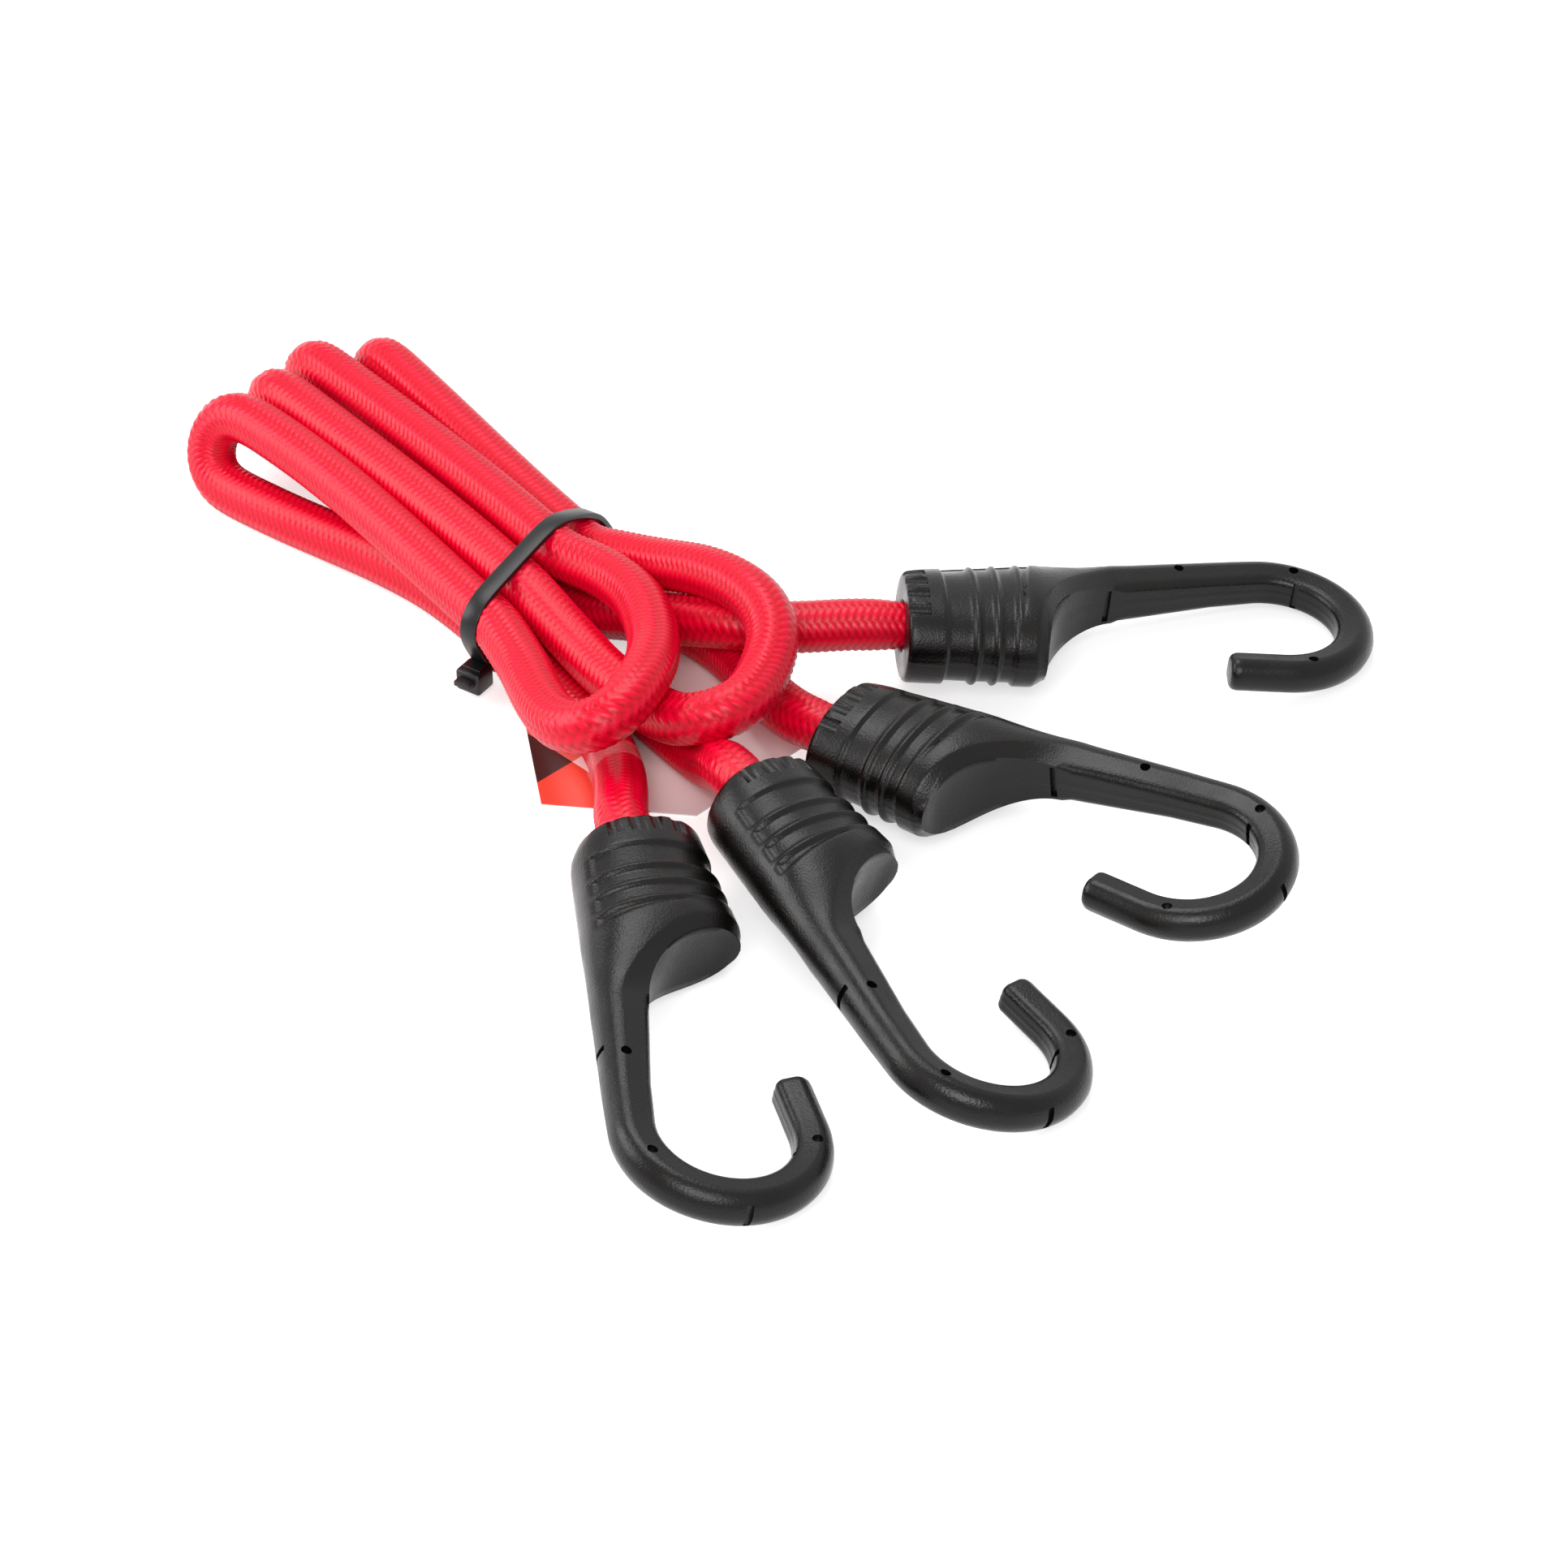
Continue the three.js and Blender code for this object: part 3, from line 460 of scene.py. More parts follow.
def closed_ring(x):
    """A ring of the body: an oval section with the recess, the rim and the rounded mouth taken off it."""
    angle = np.linspace(0, pi, FINE)
    across = -np.sign(np.cos(angle)) * np.abs(np.cos(angle)) ** (2 / BODY_POWER)
    lift = np.sin(angle).clip(0) ** (2 / BODY_POWER)
    middle = (spine(x) + inner_side(x)) / 2
    reach = (inner_side(x) - spine(x)) / 2
    half = mixed(BODY_HALF_THICKNESS, ROOT_HALF_THICKNESS, ease(x, THINNING_START, ROOT))
    y = middle + reach * across
    z = half * lift
    sideways = np.sign(across) * np.abs(across) ** (BODY_POWER - 1) / reach
    normal = np.stack([sideways, lift ** (BODY_POWER - 1) / half], axis=1)
    normal /= np.linalg.norm(normal, axis=1)[:, None]
    level = np.full(FINE, float(x))
    inset = grip_inset(level, y) + band_inset(level, y)
    back = max(MOUTH_ROUNDING - x, 0)
    inset += MOUTH_ROUNDING - (MOUTH_ROUNDING**2 - back**2) ** 0.5
    inset += np.interp(x, *SPINE_ROUNDING) * np.clip(-across, 0, 1) ** 3
    profile = np.stack([level, y - inset * normal[:, 0], (z - inset * normal[:, 1]).clip(0)], axis=1)
    travel = np.concatenate([[0], np.cumsum(np.linalg.norm(np.diff(profile, axis=0), axis=1))])
    first = at_spine_offset(profile, profile[0, :2], GRIP_EDGE - EDGE_SOFTNESS)
    second = at_spine_offset(profile, profile[0, :2], GRIP_EDGE + EDGE_SOFTNESS)
    third = int(np.argmax(travel > travel[-1] - RIM_SPAN))
    fourth = int(np.argmax(travel > travel[-1] - RIM_EDGE))
    return resampled(profile, (first, second, third, fourth))


def dish_ring(part):
    """A ring between the spine and the end face: the body's section cut off flat at the face."""
    start = np.array([mixed(RIM, ROOT, part), spine(mixed(RIM, ROOT, part))])
    stop = face_point(part)
    share = 1 - np.cos(np.linspace(0, pi / 2, FINE))
    x = mixed(start[0], stop[0], share)
    y = mixed(start[1], stop[1], share)
    neck = ease(x, RIM, ROOT)
    body_middle = (spine(x) + inner_side(x)) / 2
    crest = mixed(body_middle, spine(x) + ROOT_CREST, neck)
    inner_reach = mixed(inner_side(x) - body_middle, NECK_REACH, neck)
    half = mixed(BODY_HALF_THICKNESS, ROOT_HALF_THICKNESS, ease(x, THINNING_START, ROOT))
    outer_half = arc((y - crest) / (crest - spine(x)), BODY_POWER)
    inner_half = arc((y - crest) / inner_reach, mixed(BODY_POWER, NECK_POWER, neck))
    height = half * np.where(y < crest, outer_half, inner_half)
    slope = np.abs(np.gradient(height, y))
    inset = band_inset(x, y)
    height = (height - inset * np.minimum(np.hypot(1, slope), STEEPEST_CUT)).clip(0)
    boundary = len(inset) - int(np.argmax(inset[::-1] <= 0)) - 1
    ahead = face_point(min(part + FACE_STEP, 1)) - face_point(max(part - FACE_STEP, 0))
    outward = np.array([-ahead[1], ahead[0]]) / np.linalg.norm(ahead)
    drop = np.linspace(1, 0, WALL_FINE)[1:]
    hollow = FACE_DISH * (1 - drop**2) * (1 - ease(part, *DISH_FADE)) * ease(part, 0, DISH_RISE)
    wall = np.stack([stop[0] - hollow * outward[0], stop[1] - hollow * outward[1], drop * height[-1]], axis=1)
    profile = np.concatenate([np.stack([x, y, height], axis=1), wall])
    first = at_spine_offset(profile, start, GRIP_EDGE - EDGE_SOFTNESS)
    second = at_spine_offset(profile, start, GRIP_EDGE + EDGE_SOFTNESS)
    boundary = min(max(boundary, second + FEWEST_ON_FACE), FINE - FEWEST_ON_BAND)
    travel = np.concatenate([[0], np.cumsum(np.linalg.norm(np.diff(profile[:FINE], axis=0), axis=1))])
    back = mixed(BAND_SPAN, travel[-1] - travel[boundary], ease(part, 0, BAND_SETTLED))
    boundary = min(int(np.argmax(travel > travel[-1] - back)), FINE - FEWEST_ON_BAND)
    return resampled(profile, (first, second, boundary, FINE - 1))


def rod_ring(outer, inner, half, crest):
    """A ring of the rod: a round spine, a flat strip on each face and a flat inner side."""
    outer, inner = np.array(outer, float), np.array(inner, float)
    width = np.linalg.norm(inner - outer)
    share = 1 - np.cos(np.linspace(0, pi / 2, FINE))
    offset = share * width
    height = half * arc(np.minimum(offset - crest, 0) / crest, ROD_POWER)
    height -= STRIP_DROP * np.clip((offset - crest) / (width - crest), 0, 1)
    height -= CORNER_ROUNDING * np.clip((offset - width) / CORNER_ROUNDING + 1, 0, 1) ** 2
    spots = mixed(outer, inner, share[:, None])
    drop = np.linspace(1, 0, WALL_FINE)[1:, None]
    wall = np.concatenate([np.repeat(inner[None], len(drop), axis=0), drop * height[-1]], axis=1)
    profile = np.concatenate([np.concatenate([spots, height[:, None]], axis=1), wall])
    first = at_spine_offset(profile, outer, GRIP_EDGE - EDGE_SOFTNESS)
    second = at_spine_offset(profile, outer, GRIP_EDGE + EDGE_SOFTNESS)
    return resampled(profile, (first, second, int(np.argmax(offset >= crest)), FINE - 1))


slope = np.array([cos(SPINE_SLOPE), -sin(SPINE_SLOPE)])
square = np.array([sin(SPINE_SLOPE), cos(SPINE_SLOPE)])
rod_end = np.array([ROD_END, spine(ROD_END) + ROD_WIDTH / 2])
bend_centre = rod_end + BEND_RADIUS * square


def bend_direction(angle):
    """The way out from the bend's centre, at an angle in degrees."""
    return np.array([cos(radians(angle)), sin(radians(angle))])


def rod_section(middle, outward, slim):
    """A ring of the rod past its taper, slimmer towards the tip."""
    reach = ROD_WIDTH / 2 * slim * outward
    return rod_ring(middle + reach, middle - reach, ROD_HALF_THICKNESS * slim, ROD_CREST * slim)


def hook_rings():
    """All rings of the moulding, from the end of the bore out to the mouth and along to the tip."""
    body = [closed_ring(x) for x in MOUTH_STATIONS + GRIP_STATIONS]
    dish = [dish_ring(part) for part in DISH_STATIONS]
    shank = []
    for part in np.linspace(0, 1, SHANK_RINGS + 1)[1:]:
        x = mixed(ROOT, TAPER_END, part)
        inner = (x, spine(x) + mixed(ROOT_WIDTH, ROD_WIDTH, part))
        half = mixed(ROOT_HALF_THICKNESS, ROD_HALF_THICKNESS, part)
        shank.append(rod_ring((x, spine(x)), inner, half, mixed(ROOT_CREST, ROD_CREST, part)))
    turns = -90 - np.degrees(SPINE_SLOPE) + np.linspace(0, BEND_SWEEP, BEND_RINGS)
    bend = [
        rod_section(bend_centre + BEND_RADIUS * bend_direction(turn), bend_direction(turn), slim)
        for turn, slim in zip(turns, np.linspace(BEND_SLIMNESS, TIP_SLIMNESS, BEND_RINGS))
    ]
    outward = bend_direction(turns[-1])
    ahead = np.array([-outward[1], outward[0]])
    start = bend_centre + BEND_RADIUS * outward
    tip = [
        rod_section(start + ahead * away, outward, TIP_SLIMNESS)
        for away in np.linspace(0, TIP_STRAIGHT, TIP_RINGS + 1)[1:]
    ]
    for back, shrink in TIP_ROUNDING:
        middle = start + ahead * (TIP_LENGTH - back)
        ring = rod_section(middle, outward, TIP_SLIMNESS)
        centre = np.array([*middle, 0])
        tip.append(centre + (ring - centre) * (1 - shrink / ROD_HALF_THICKNESS))
    turn = np.arctan2(body[0][:, 2], body[0][:, 1])
    bore = [
        np.stack([np.full(len(turn), x), radius * np.cos(turn), radius * np.sin(turn)], axis=1)
        for x, radius in BORE_RINGS
    ]
    return bore + body + dish + shank + bend + tip


hook_master = skin("hook_master", hook_rings())
pick(hook_master)
bpy.ops.object.mode_set(mode="EDIT")
bpy.ops.mesh.select_all(action="SELECT")
bpy.ops.mesh.normals_make_consistent(inside=False)
bpy.ops.object.mode_set(mode="OBJECT")

# What is cut into the moulding: crown grooves at the mouth, pin holes and gate slots along the rod
CROWN_GROOVES = 4
CROWN_PITCH = 4.2
CROWN_RADIUS = 1.7
CROWN_DEPTH = 0.75
CROWN_LENGTH = 4.2
PIN_DIAMETER = 1.9
PIN_LENGTH = 20
SHANK_PIN = 55.2
BEND_PINS = (-68, 73)
CUTTER_SIDES = 24
SLOT_WIDTH = 1.2
SLOT_DEPTH = 0.9
# Gate slots, by place, bearing and height: one on the spine, one on the inner side, three round the bend
SHANK_SLOTS = (
    ((52.4, spine(52.4)), -SPINE_SLOPE, 5.0),
    ((40.6, face_point(0.9)[1] - 0.3), -SPINE_SLOPE, 7.0),
)
BEND_SLOTS = ((-2, BEND_RADIUS + 3.6, 4.5), (-61, BEND_RADIUS - 3.7, 5.5), (56, BEND_RADIUS - 3.5, 5))
HOOK_SMOOTH_ANGLE = radians(62)

cutters = []
for face in (1, -1):
    for groove in range(CROWN_GROOVES):
        across = (groove - (CROWN_GROOVES - 1) / 2) * CROWN_PITCH
        lift = BODY_HALF_THICKNESS * arc(across / BODY_HALF_WIDTH, BODY_POWER) + CROWN_RADIUS - CROWN_DEPTH
        bpy.ops.mesh.primitive_cylinder_add(
            vertices=CUTTER_SIDES, radius=CROWN_RADIUS * MM, depth=(CROWN_LENGTH + 1) * MM,
            rotation=(0, pi / 2, 0), location=Vector(((CROWN_LENGTH - 1) / 2, across, face * lift)) * MM,
        )
        cutters.append(bpy.context.object)
pins = [rod_end + slope * (SHANK_PIN - ROD_END) / slope[0]]
pins += [bend_centre + BEND_RADIUS * bend_direction(angle) for angle in BEND_PINS]
for spot in pins:
    bpy.ops.mesh.primitive_cylinder_add(
        vertices=CUTTER_SIDES, radius=PIN_DIAMETER / 2 * MM, depth=PIN_LENGTH * MM,
        location=(spot[0] * MM, spot[1] * MM, 0),
    )
    cutters.append(bpy.context.object)
slots = list(SHANK_SLOTS)
for turn, radius, height in BEND_SLOTS:
    slots.append((tuple(bend_centre + radius * bend_direction(turn)), radians(turn) + pi / 2, height))
for (x, y), turn, height in slots:
    bpy.ops.mesh.primitive_cube_add(
        size=MM, scale=(SLOT_WIDTH, 2 * SLOT_DEPTH, height), rotation=(0, 0, turn),
        location=(x * MM, y * MM, 0),
    )
    cutters.append(bpy.context.object)
pick(*cutters)
bpy.ops.object.transform_apply(location=True, rotation=True, scale=True)
bpy.ops.object.join()
cutter = bpy.context.object
pick(hook_master)
cut = hook_master.modifiers.new("cuts", "BOOLEAN")
cut.operation = "DIFFERENCE"
cut.solver = "EXACT"
cut.object = cutter
bpy.ops.object.modifier_apply(modifier="cuts")
bpy.data.objects.remove(cutter)
bpy.ops.object.shade_smooth_by_angle(angle=HOOK_SMOOTH_ANGLE)

hooks = []
for number, (mouth, (yaw, pitch, roll)) in enumerate(HOOK_PLACES, 1):
    hook = bpy.data.objects.new(f"hook_{number}_body", hook_master.data.copy())
    bpy.context.scene.collection.objects.link(hook)
    turn = Euler((radians(roll), radians(pitch), radians(yaw)), "XYZ").to_matrix().to_4x4()
    hook.data.transform(Matrix.Translation(placed(mouth)) @ turn)
    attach(hook, f"hook_{number}")
    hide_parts(f"hook_{number}_moulding")
    hooks.append(hook)
bpy.data.objects.remove(hook_master)

# Cable tie: a strap drawn round the eight strands, its head and the cut end of its tail
STRAND_DIAMETER = 8.8
LOW_ROW = ((2.36, 0.69), (1.16, 0.69), (0, 0.69), (-1.16, 0.69))
TOP_ROW = ((1.82, 1.6), (0.8, 2.05), (-0.48, 1.86), (-1.68, 1.67))
STRAND_BEARING = 125
TIE_CENTRE = (-47.95, 44.65, 0)
TIE_BEARING = 57.7
STRAP_WIDTH = 3.6
STRAP_THICKNESS = 1.1
STRAP_PLAY = 0.45
STRAP_POINTS = 120
STRAP_SMOOTHING = 16
STRAP_EDGE = 0.25
HEAD_SIZE = (5, 5.4, 4.6)
HEAD_LIFT = 1.2
HEAD_EDGE = 0.6
TAIL_SIZE = (3.6, STRAP_WIDTH, STRAP_THICKNESS)
TAIL_LIFT = 0.5
TAIL_EDGE = 0.15
PAWL_SIZE = (3, 4, 0.8)
PAWL_OFFSET = 0.4
PAWL_EDGE = 0.2
SMALL_SMOOTH_ANGLE = radians(35)


def strap_outline(grow):
    """The strap's line round the strands, in mm along the tie and up."""
    skew = radians(TIE_BEARING + 90 - STRAND_BEARING)
    reach = STRAND_DIAMETER / 2 / cos(skew) + STRAP_WIDTH / 2 * tan(skew) + STRAP_PLAY + grow
    height = STRAND_DIAMETER / 2 + STRAP_PLAY + grow
    strands = np.array(LOW_ROW + TOP_ROW) * STRAND_DIAMETER
    turn = 2 * pi * (np.arange(STRAP_POINTS) + 0.5) / STRAP_POINTS
    facing = np.stack([np.cos(turn) / reach, np.sin(turn) / height], axis=1)
    corner = strands[np.argmax(facing @ strands.T, axis=1)]
    line = corner + np.stack([reach * np.cos(turn), height * np.sin(turn)], axis=1)
    spread = np.concatenate([line, line[:1]])
    travel = np.concatenate([[0], np.cumsum(np.linalg.norm(np.diff(spread, axis=0), axis=1))])
    marks = np.linspace(0, travel[-1], STRAP_POINTS, endpoint=False)
    line = np.stack([np.interp(marks, travel, spread[:, axis]) for axis in range(2)], axis=1)
    for _ in range(STRAP_SMOOTHING):
        line += (np.roll(line, 1, axis=0) + np.roll(line, -1, axis=0) - 2 * line) / 4
    return line


bpy.ops.object.select_all(action="DESELECT")
bpy.ops.mesh.primitive_circle_add(vertices=STRAP_POINTS, radius=MM)
tie = bpy.context.object
tie.name = "cable_tie_strap"
for vertex, (along, up) in zip(tie.data.vertices, strap_outline(STRAP_THICKNESS / 2)):
    vertex.co = Vector((along, -STRAP_WIDTH / 2, up)) * MM
bpy.ops.object.mode_set(mode="EDIT")
bpy.ops.mesh.select_all(action="SELECT")
bpy.ops.mesh.extrude_region_move(TRANSFORM_OT_translate={"value": (0, STRAP_WIDTH * MM, 0)})
bpy.ops.object.mode_set(mode="OBJECT")
wall = tie.modifiers.new("wall", "SOLIDIFY")
wall.thickness = STRAP_THICKNESS * MM
wall.offset = 0
bpy.ops.object.modifier_apply(modifier="wall")
rounding = tie.modifiers.new("rounding", "BEVEL")
rounding.width = STRAP_EDGE * MM
rounding.segments = 2
rounding.limit_method = "ANGLE"
bpy.ops.object.modifier_apply(modifier="rounding")
outer = strap_outline(STRAP_THICKNESS)
head_low = outer[:, 1].min() + HEAD_LIFT
head_right = outer[outer[:, 1] < head_low + HEAD_SIZE[2], 0].min() + STRAP_THICKNESS / 2
head_middle = Vector((head_right - HEAD_SIZE[0] / 2, 0, head_low + HEAD_SIZE[2] / 2))
tie_pieces = [tie]
for size, spot, edge in (
    (HEAD_SIZE, head_middle, HEAD_EDGE),
    (TAIL_SIZE, head_middle + Vector((-HEAD_SIZE[0] / 2, 0, TAIL_LIFT)), TAIL_EDGE),
    (PAWL_SIZE, head_middle + Vector((PAWL_OFFSET, 0, HEAD_SIZE[2] / 2)), PAWL_EDGE),
):
    bpy.ops.mesh.primitive_cube_add(size=MM, scale=size, location=spot * MM)
    block = bpy.context.object
    bpy.ops.object.transform_apply(location=True, rotation=True, scale=True)
    rounding = block.modifiers.new("rounding", "BEVEL")
    rounding.width = edge * MM
    rounding.segments = 3
    bpy.ops.object.modifier_apply(modifier="rounding")
    tie_pieces.append(block)
pick(*tie_pieces)
bpy.ops.object.join()
tie.data.transform(Matrix.Translation(placed(TIE_CENTRE)) @ Matrix.Rotation(radians(TIE_BEARING), 4, "Z"))
bpy.ops.object.shade_smooth_by_angle(angle=SMALL_SMOOTH_ANGLE)
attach(tie, "cords")
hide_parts("cable_tie")

# Label: a flat card on the ground, printed in plain fields of colour, with one paler band that is a painted
# highlight, standing for the lit face of a fold
CARD_THICKNESS = 0.25
CARD_CORNERS = ((-44.5, -6), (-16, -9.5), (5, 12.5), (-17, 43), (-49.5, 24))
PRINT_LINES = (
    ((-29.6, 10.9), (-24, -9.7)), ((-45.9, -0.3), (-42.6, 6.2)), ((-47.6, 14.7), (-34.8, -4.4)),
    ((-44, 20.5), (-30.8, 5.3)),
)
PAPER_WHITE = "fffaf8"
PRINT_ORANGE = "f4503f"
PRINT_BLACK = "3a2220"
# Painted highlight: the paler face of a fold in the card, drawn as a flat band of colour
PAINTED_FOLD_HIGHLIGHT = "f27c6c"


def linear(colour):
    """An sRGB hex colour as the linear values that shaders take."""
    parts = [int(colour[k:k + 2], 16) / 255 for k in (0, 2, 4)]
    return (*[part / 12.92 if part <= 0.04045 else ((part + 0.055) / 1.055) ** 2.4 for part in parts], 1)


def side_of(spot, line):
    """Above 0 where a point lies left of a line."""
    (x0, y0), (x1, y1) = line
    return (x1 - x0) * (spot[1] - y0) - (y1 - y0) * (spot[0] - x0)


bpy.ops.object.select_all(action="DESELECT")
bpy.ops.mesh.primitive_circle_add(vertices=len(CARD_CORNERS), radius=MM, fill_type="NGON")
card = bpy.context.object
card.name = "label_printed_card"
for vertex, (x, y) in zip(card.data.vertices, CARD_CORNERS):
    vertex.co = placed((x, y, CARD_THICKNESS / 2))
bpy.ops.object.mode_set(mode="EDIT")
for (x0, y0), (x1, y1) in PRINT_LINES:
    bpy.ops.mesh.select_all(action="SELECT")
    bpy.ops.mesh.bisect(plane_co=placed((x0, y0, 0)), plane_no=(y1 - y0, x0 - x1, 0))
bpy.ops.mesh.select_all(action="SELECT")
bpy.ops.mesh.normals_make_consistent(inside=False)
bpy.ops.object.mode_set(mode="OBJECT")
wall = card.modifiers.new("wall", "SOLIDIFY")
wall.thickness = CARD_THICKNESS * MM
wall.offset = 0
bpy.ops.object.modifier_apply(modifier="wall")
print_and_highlight_colour = card.data.attributes.new("print_and_fold_highlight", "FLOAT_COLOR", "FACE")
panel, dark, highlight_band_low, highlight_band_high = PRINT_LINES
for face in card.data.polygons:
    spot = (face.center - SHIFT) / MM
    if side_of(spot, panel) > 0:
        shade = PAPER_WHITE
    elif side_of(spot, highlight_band_high) > 0:
        shade = PRINT_ORANGE
    # The band between these lines is the painted highlight of the fold
    elif side_of(spot, highlight_band_low) > 0:
        shade = PAINTED_FOLD_HIGHLIGHT
    elif side_of(spot, dark) > 0:
        shade = PRINT_BLACK
    else:
        shade = PRINT_ORANGE
    print_and_highlight_colour.data[face.index].color = linear(shade)
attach(card, "cords")
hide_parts("label_card")

# Clear film sleeve that hangs the label on the cord to hook 4
SLEEVE_RADIUS = 5.15
SLEEVE_WALL = 0.3
SLEEVE_LENGTH = 4.5
SLEEVE_SIDES = 64

low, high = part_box("label_clear_sleeve")
sleeve_middle = (Vector(low) + Vector(high)) / 2
cord_spots = np.array(CORD_ROUTES["cord_a"]) * MM + np.array(SHIFT)
nearest = int(np.argmin(np.linalg.norm(cord_spots - np.array(sleeve_middle), axis=1)))
sleeve_axis = Vector(cord_spots[nearest + 1] - cord_spots[nearest - 1])
bpy.ops.object.select_all(action="DESELECT")
bpy.ops.mesh.primitive_cylinder_add(
    vertices=SLEEVE_SIDES, radius=SLEEVE_RADIUS * MM, depth=SLEEVE_LENGTH * MM, end_fill_type="NOTHING",
)
sleeve = bpy.context.object
sleeve.name = "label_film_sleeve"
wall = sleeve.modifiers.new("wall", "SOLIDIFY")
wall.thickness = SLEEVE_WALL * MM
wall.offset = 0
bpy.ops.object.modifier_apply(modifier="wall")
sleeve_turn = sleeve_axis.to_track_quat("Z", "Y").to_matrix().to_4x4()
sleeve.data.transform(Matrix.Translation(sleeve_middle) @ sleeve_turn)
bpy.ops.object.shade_smooth_by_angle(angle=SMALL_SMOOTH_ANGLE)
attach(sleeve, "cords")
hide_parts("label_clear_sleeve")


# Finishes
def add_node(tree, kind, links=(), **settings):
    """A shader node with its settings, and links from other nodes' outputs into its inputs."""
    node = tree.nodes.new(kind)
    for key, value in settings.items():
        if key in node.inputs:
            node.inputs[key].default_value = value
        else:
            setattr(node, key, value)
    for name, output in links:
        tree.links.new(output, node.inputs[name])
    return node


def finish_of(name, colour, roughness, **settings):
    """A material with a principled shader, its node tree and that shader."""
    finish = bpy.data.materials.new(name)
    finish.use_nodes = True
    shader = finish.node_tree.nodes["Principled BSDF"]
    shader.inputs["Base Color"].default_value = linear(colour)
    shader.inputs["Roughness"].default_value = roughness
    for key, value in settings.items():
        shader.inputs[key].default_value = value
    return finish, finish.node_tree, shader


def grain(tree, shader, size, depth, strength):
    """A fine bump on the surface, with grains of that size in mm."""
    spots = add_node(tree, "ShaderNodeTexCoord")
    noise = add_node(
        tree, "ShaderNodeTexNoise", [("Vector", spots.outputs["Object"])], Scale=1 / (size * MM), Detail=3,
    )
    bump = add_node(
        tree, "ShaderNodeBump", [("Height", noise.outputs["Fac"])], Strength=strength, Distance=depth * MM,
    )
    tree.links.new(bump.outputs["Normal"], shader.inputs["Normal"])
    return spots


def shaded_by(tree, factor, stops):
    """A colour ramp over a factor, from stops of place and hex colour."""
    ramp = add_node(tree, "ShaderNodeValToRGB", [("Fac", factor)])
    while len(ramp.color_ramp.elements) < len(stops):
        ramp.color_ramp.elements.new(0.5)
    for element, (place, colour) in zip(ramp.color_ramp.elements, stops):
        element.position = place
        element.color = linear(colour)
    return ramp


def shown_rays(tree):
    """1 for rays that show a surface to the camera, straight on or by gloss or glass, and 0 for light."""
    rays = add_node(tree, "ShaderNodeLightPath").outputs
    mirrored = add_node(
        tree, "ShaderNodeMath", [(0, rays["Is Glossy Ray"]), (1, rays["Is Transmission Ray"])],
        operation="ADD",
    )
    shown = add_node(
        tree, "ShaderNodeMath", [(0, rays["Is Camera Ray"]), (1, mirrored.outputs["Value"])],
        operation="ADD", use_clamp=True,
    )
    return shown.outputs["Value"]


# Woven polyester yarn: shade is painted into its colour, deep red in the crevices between the floats and
# brighter on their backs, which also catch a soft sheen along the yarn. Its filaments are too fine to show,
# so the bump for them is drawn some ten times as coarse
yarn, tree, shader = finish_of(
    "woven_red_yarn", "d8002c", 0.3, **{"Specular IOR Level": 0.27, "Anisotropic": 0.8},
)
run = add_node(tree, "ShaderNodeAttribute", attribute_name="yarn_run")
tree.links.new(run.outputs["Vector"], shader.inputs["Tangent"])
grain(tree, shader, 0.35, 0.04, 0.3)
height = add_node(tree, "ShaderNodeAttribute", attribute_name="braid_height_for_shade")
# Painted shade: the yarn's colour runs from deep red in the crevices to bright red on the floats' backs
ramp = shaded_by(tree, height.outputs["Fac"], ((0.15, "900010"), (0.45, "c8001f"), (0.85, "ea0232")))
tree.links.new(ramp.outputs["Color"], shader.inputs["Base Color"])

# Moulded black polypropylene: a matt grain, drawn two or three times as coarse as it is so that it shows, and
# patches some 7 mm across where handling has polished it
plastic, tree, shader = finish_of("matt_black_moulding", "0b0807", 0.55, **{"Specular IOR Level": 0.27})
spots = grain(tree, shader, 0.4, 0.08, 0.9)
wear = add_node(
    tree, "ShaderNodeTexNoise", [("Vector", spots.outputs["Object"])], Scale=1 / (7 * MM), Detail=5,
)
ramp = shaded_by(tree, wear.outputs["Fac"], ((0.3, "707070"), (0.7, "a0a0a0")))
tree.links.new(ramp.outputs["Color"], shader.inputs["Roughness"])

# Nylon strap: smoother than the hooks, with a narrow highlight
nylon = finish_of("black_nylon", "0c0c0d", 0.34, **{"Specular IOR Level": 0.36})[0]

# Printed card under gloss laminate: flat fields of printed colour, one paler band of them a painted highlight
# of a fold, with a clear reflection over them
laminate, tree, shader = finish_of(
    "printed_laminate", PAPER_WHITE, 0.4, **{"Coat Weight": 0.3, "Coat Roughness": 0.2},
)
ink_and_fold_highlight = add_node(tree, "ShaderNodeAttribute", attribute_name="print_and_fold_highlight")
tree.links.new(ink_and_fold_highlight.outputs["Color"], shader.inputs["Base Color"])

# Clear film: seen only by its edges and reflections
film = finish_of("clear_film", "ffffff", 0.12, **{"Alpha": 0.06, "IOR": 1.45})[0]

# Steel wire and crimped aluminium inside the hooks, drawn and pressed bare metal
steel, tree, shader = finish_of("drawn_steel", "b9bcc0", 0.35, Metallic=1.0)
grain(tree, shader, 0.5, 0.01, 0.3)
aluminium, tree, shader = finish_of("pressed_aluminium", "c6c8ca", 0.4, Metallic=1.0)
grain(tree, shader, 0.6, 0.01, 0.3)

coats = [(cord, yarn) for cord in cords.values()] + [(hook, plastic) for hook in hooks]
coats += [(tie, nylon), (card, laminate), (sleeve, film)]
for number in range(1, len(HOOK_PLACES) + 1):
    coats.append((frame["nodes"][f"hook_{number}_wire_core"], steel))
    coats.append((frame["nodes"][f"hook_{number}_crimp_ferrule"], aluminium))
for piece, finish in coats:
    piece.data.materials.clear()
    piece.data.materials.append(finish)

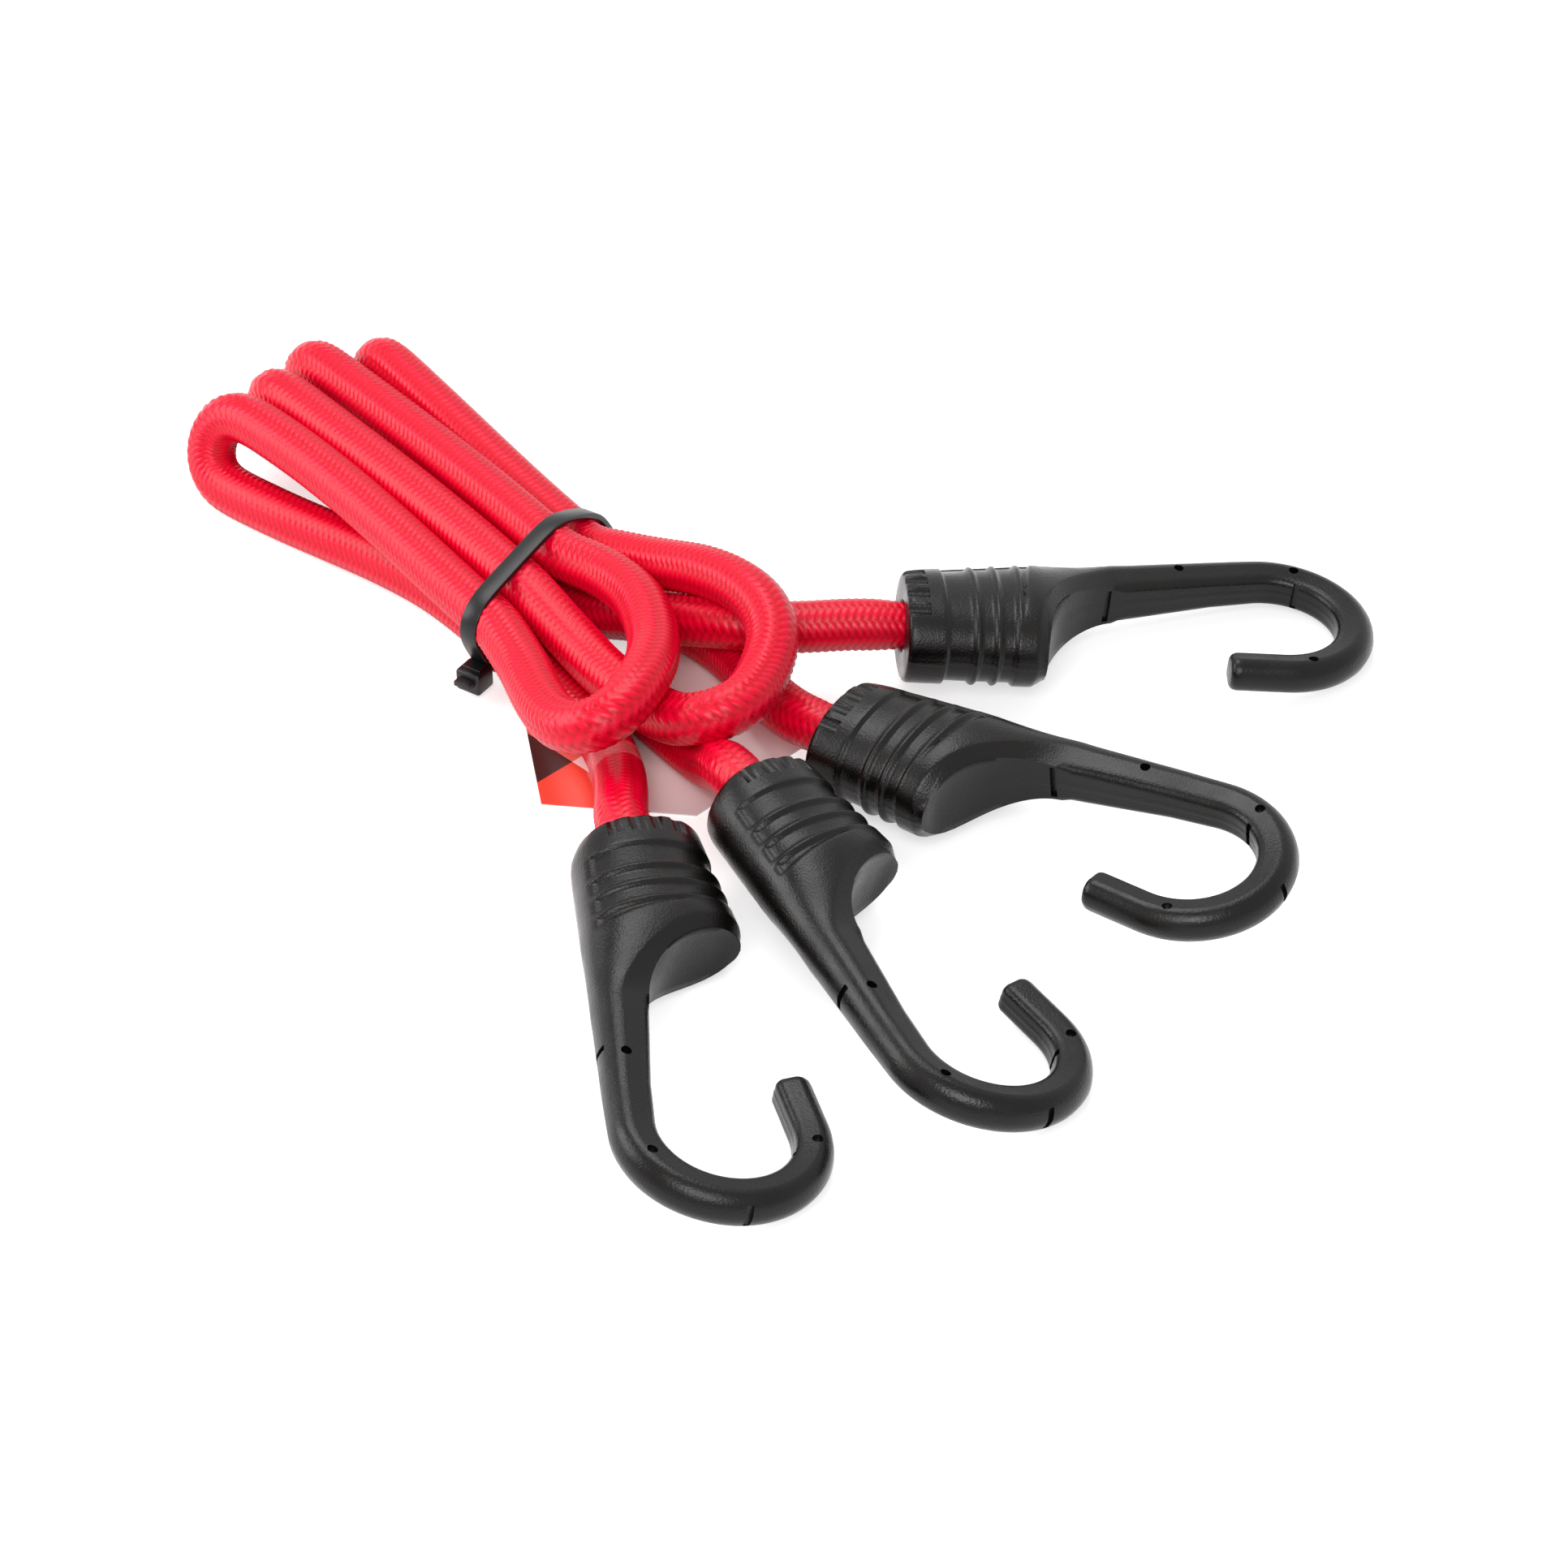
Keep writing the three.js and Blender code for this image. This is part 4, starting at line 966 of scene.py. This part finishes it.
# Floor and light: white paper under three softboxes in a white room, with faint shadows. Floor and lamps are
# sized in metres, the floor's drop and the lamps' places are in mm, and their power is in watts
FLOOR_SIZE = 1.4
FLOOR_DROP = 0.2
PAPER_GLOW = 0.58
WORLD_STRENGTH = 0.38
LAMPS = (
    ("front_softbox", (-40, -580, 560), 0.4, 3.5),
    ("top_softbox", (-60, 260, 600), 0.36, 1.9),
    ("left_softbox", (-600, 60, 330), 0.4, 2.4),
)

bpy.ops.object.select_all(action="DESELECT")
bpy.ops.mesh.primitive_plane_add(size=FLOOR_SIZE, location=placed((0, 0, -FLOOR_DROP)))
floor = bpy.context.object
floor.name = "studio_floor"
# White paper: lit a little past white where it is seen, so that only soft shadows show on it
paper, tree, shader = finish_of("white_paper", "e8e8e8", 0.9, **{"Specular IOR Level": 0.0})
shader.inputs["Emission Color"].default_value = (1, 1, 1, 1)
glow = add_node(tree, "ShaderNodeMath", [(0, shown_rays(tree))], operation="MULTIPLY")
glow.inputs[1].default_value = PAPER_GLOW
tree.links.new(glow.outputs["Value"], shader.inputs["Emission Strength"])
floor.data.materials.append(paper)

scene = bpy.context.scene
scene.view_settings.view_transform = "Standard"
world = bpy.data.worlds.new("studio")
scene.world = world
world.use_nodes = True
tree = world.node_tree
soft_light = tree.nodes["Background"]
soft_light.inputs["Color"].default_value = (1, 1, 1, 1)
soft_light.inputs["Strength"].default_value = WORLD_STRENGTH
backdrop = add_node(tree, "ShaderNodeBackground", Color=(1, 1, 1, 1), Strength=1.0)
seen = add_node(
    tree, "ShaderNodeMixShader",
    [(0, shown_rays(tree)), (1, soft_light.outputs[0]), (2, backdrop.outputs[0])],
)
tree.links.new(seen.outputs[0], tree.nodes["World Output"].inputs["Surface"])

for name, spot, size, power in LAMPS:
    bpy.ops.object.light_add(type="AREA", location=placed(spot))
    lamp = bpy.context.object
    lamp.name = name
    lamp.data.size = size
    lamp.data.energy = power
    lamp.rotation_euler = (placed((0, 0, 0)) - lamp.location).to_track_quat("-Z", "Y").to_euler()
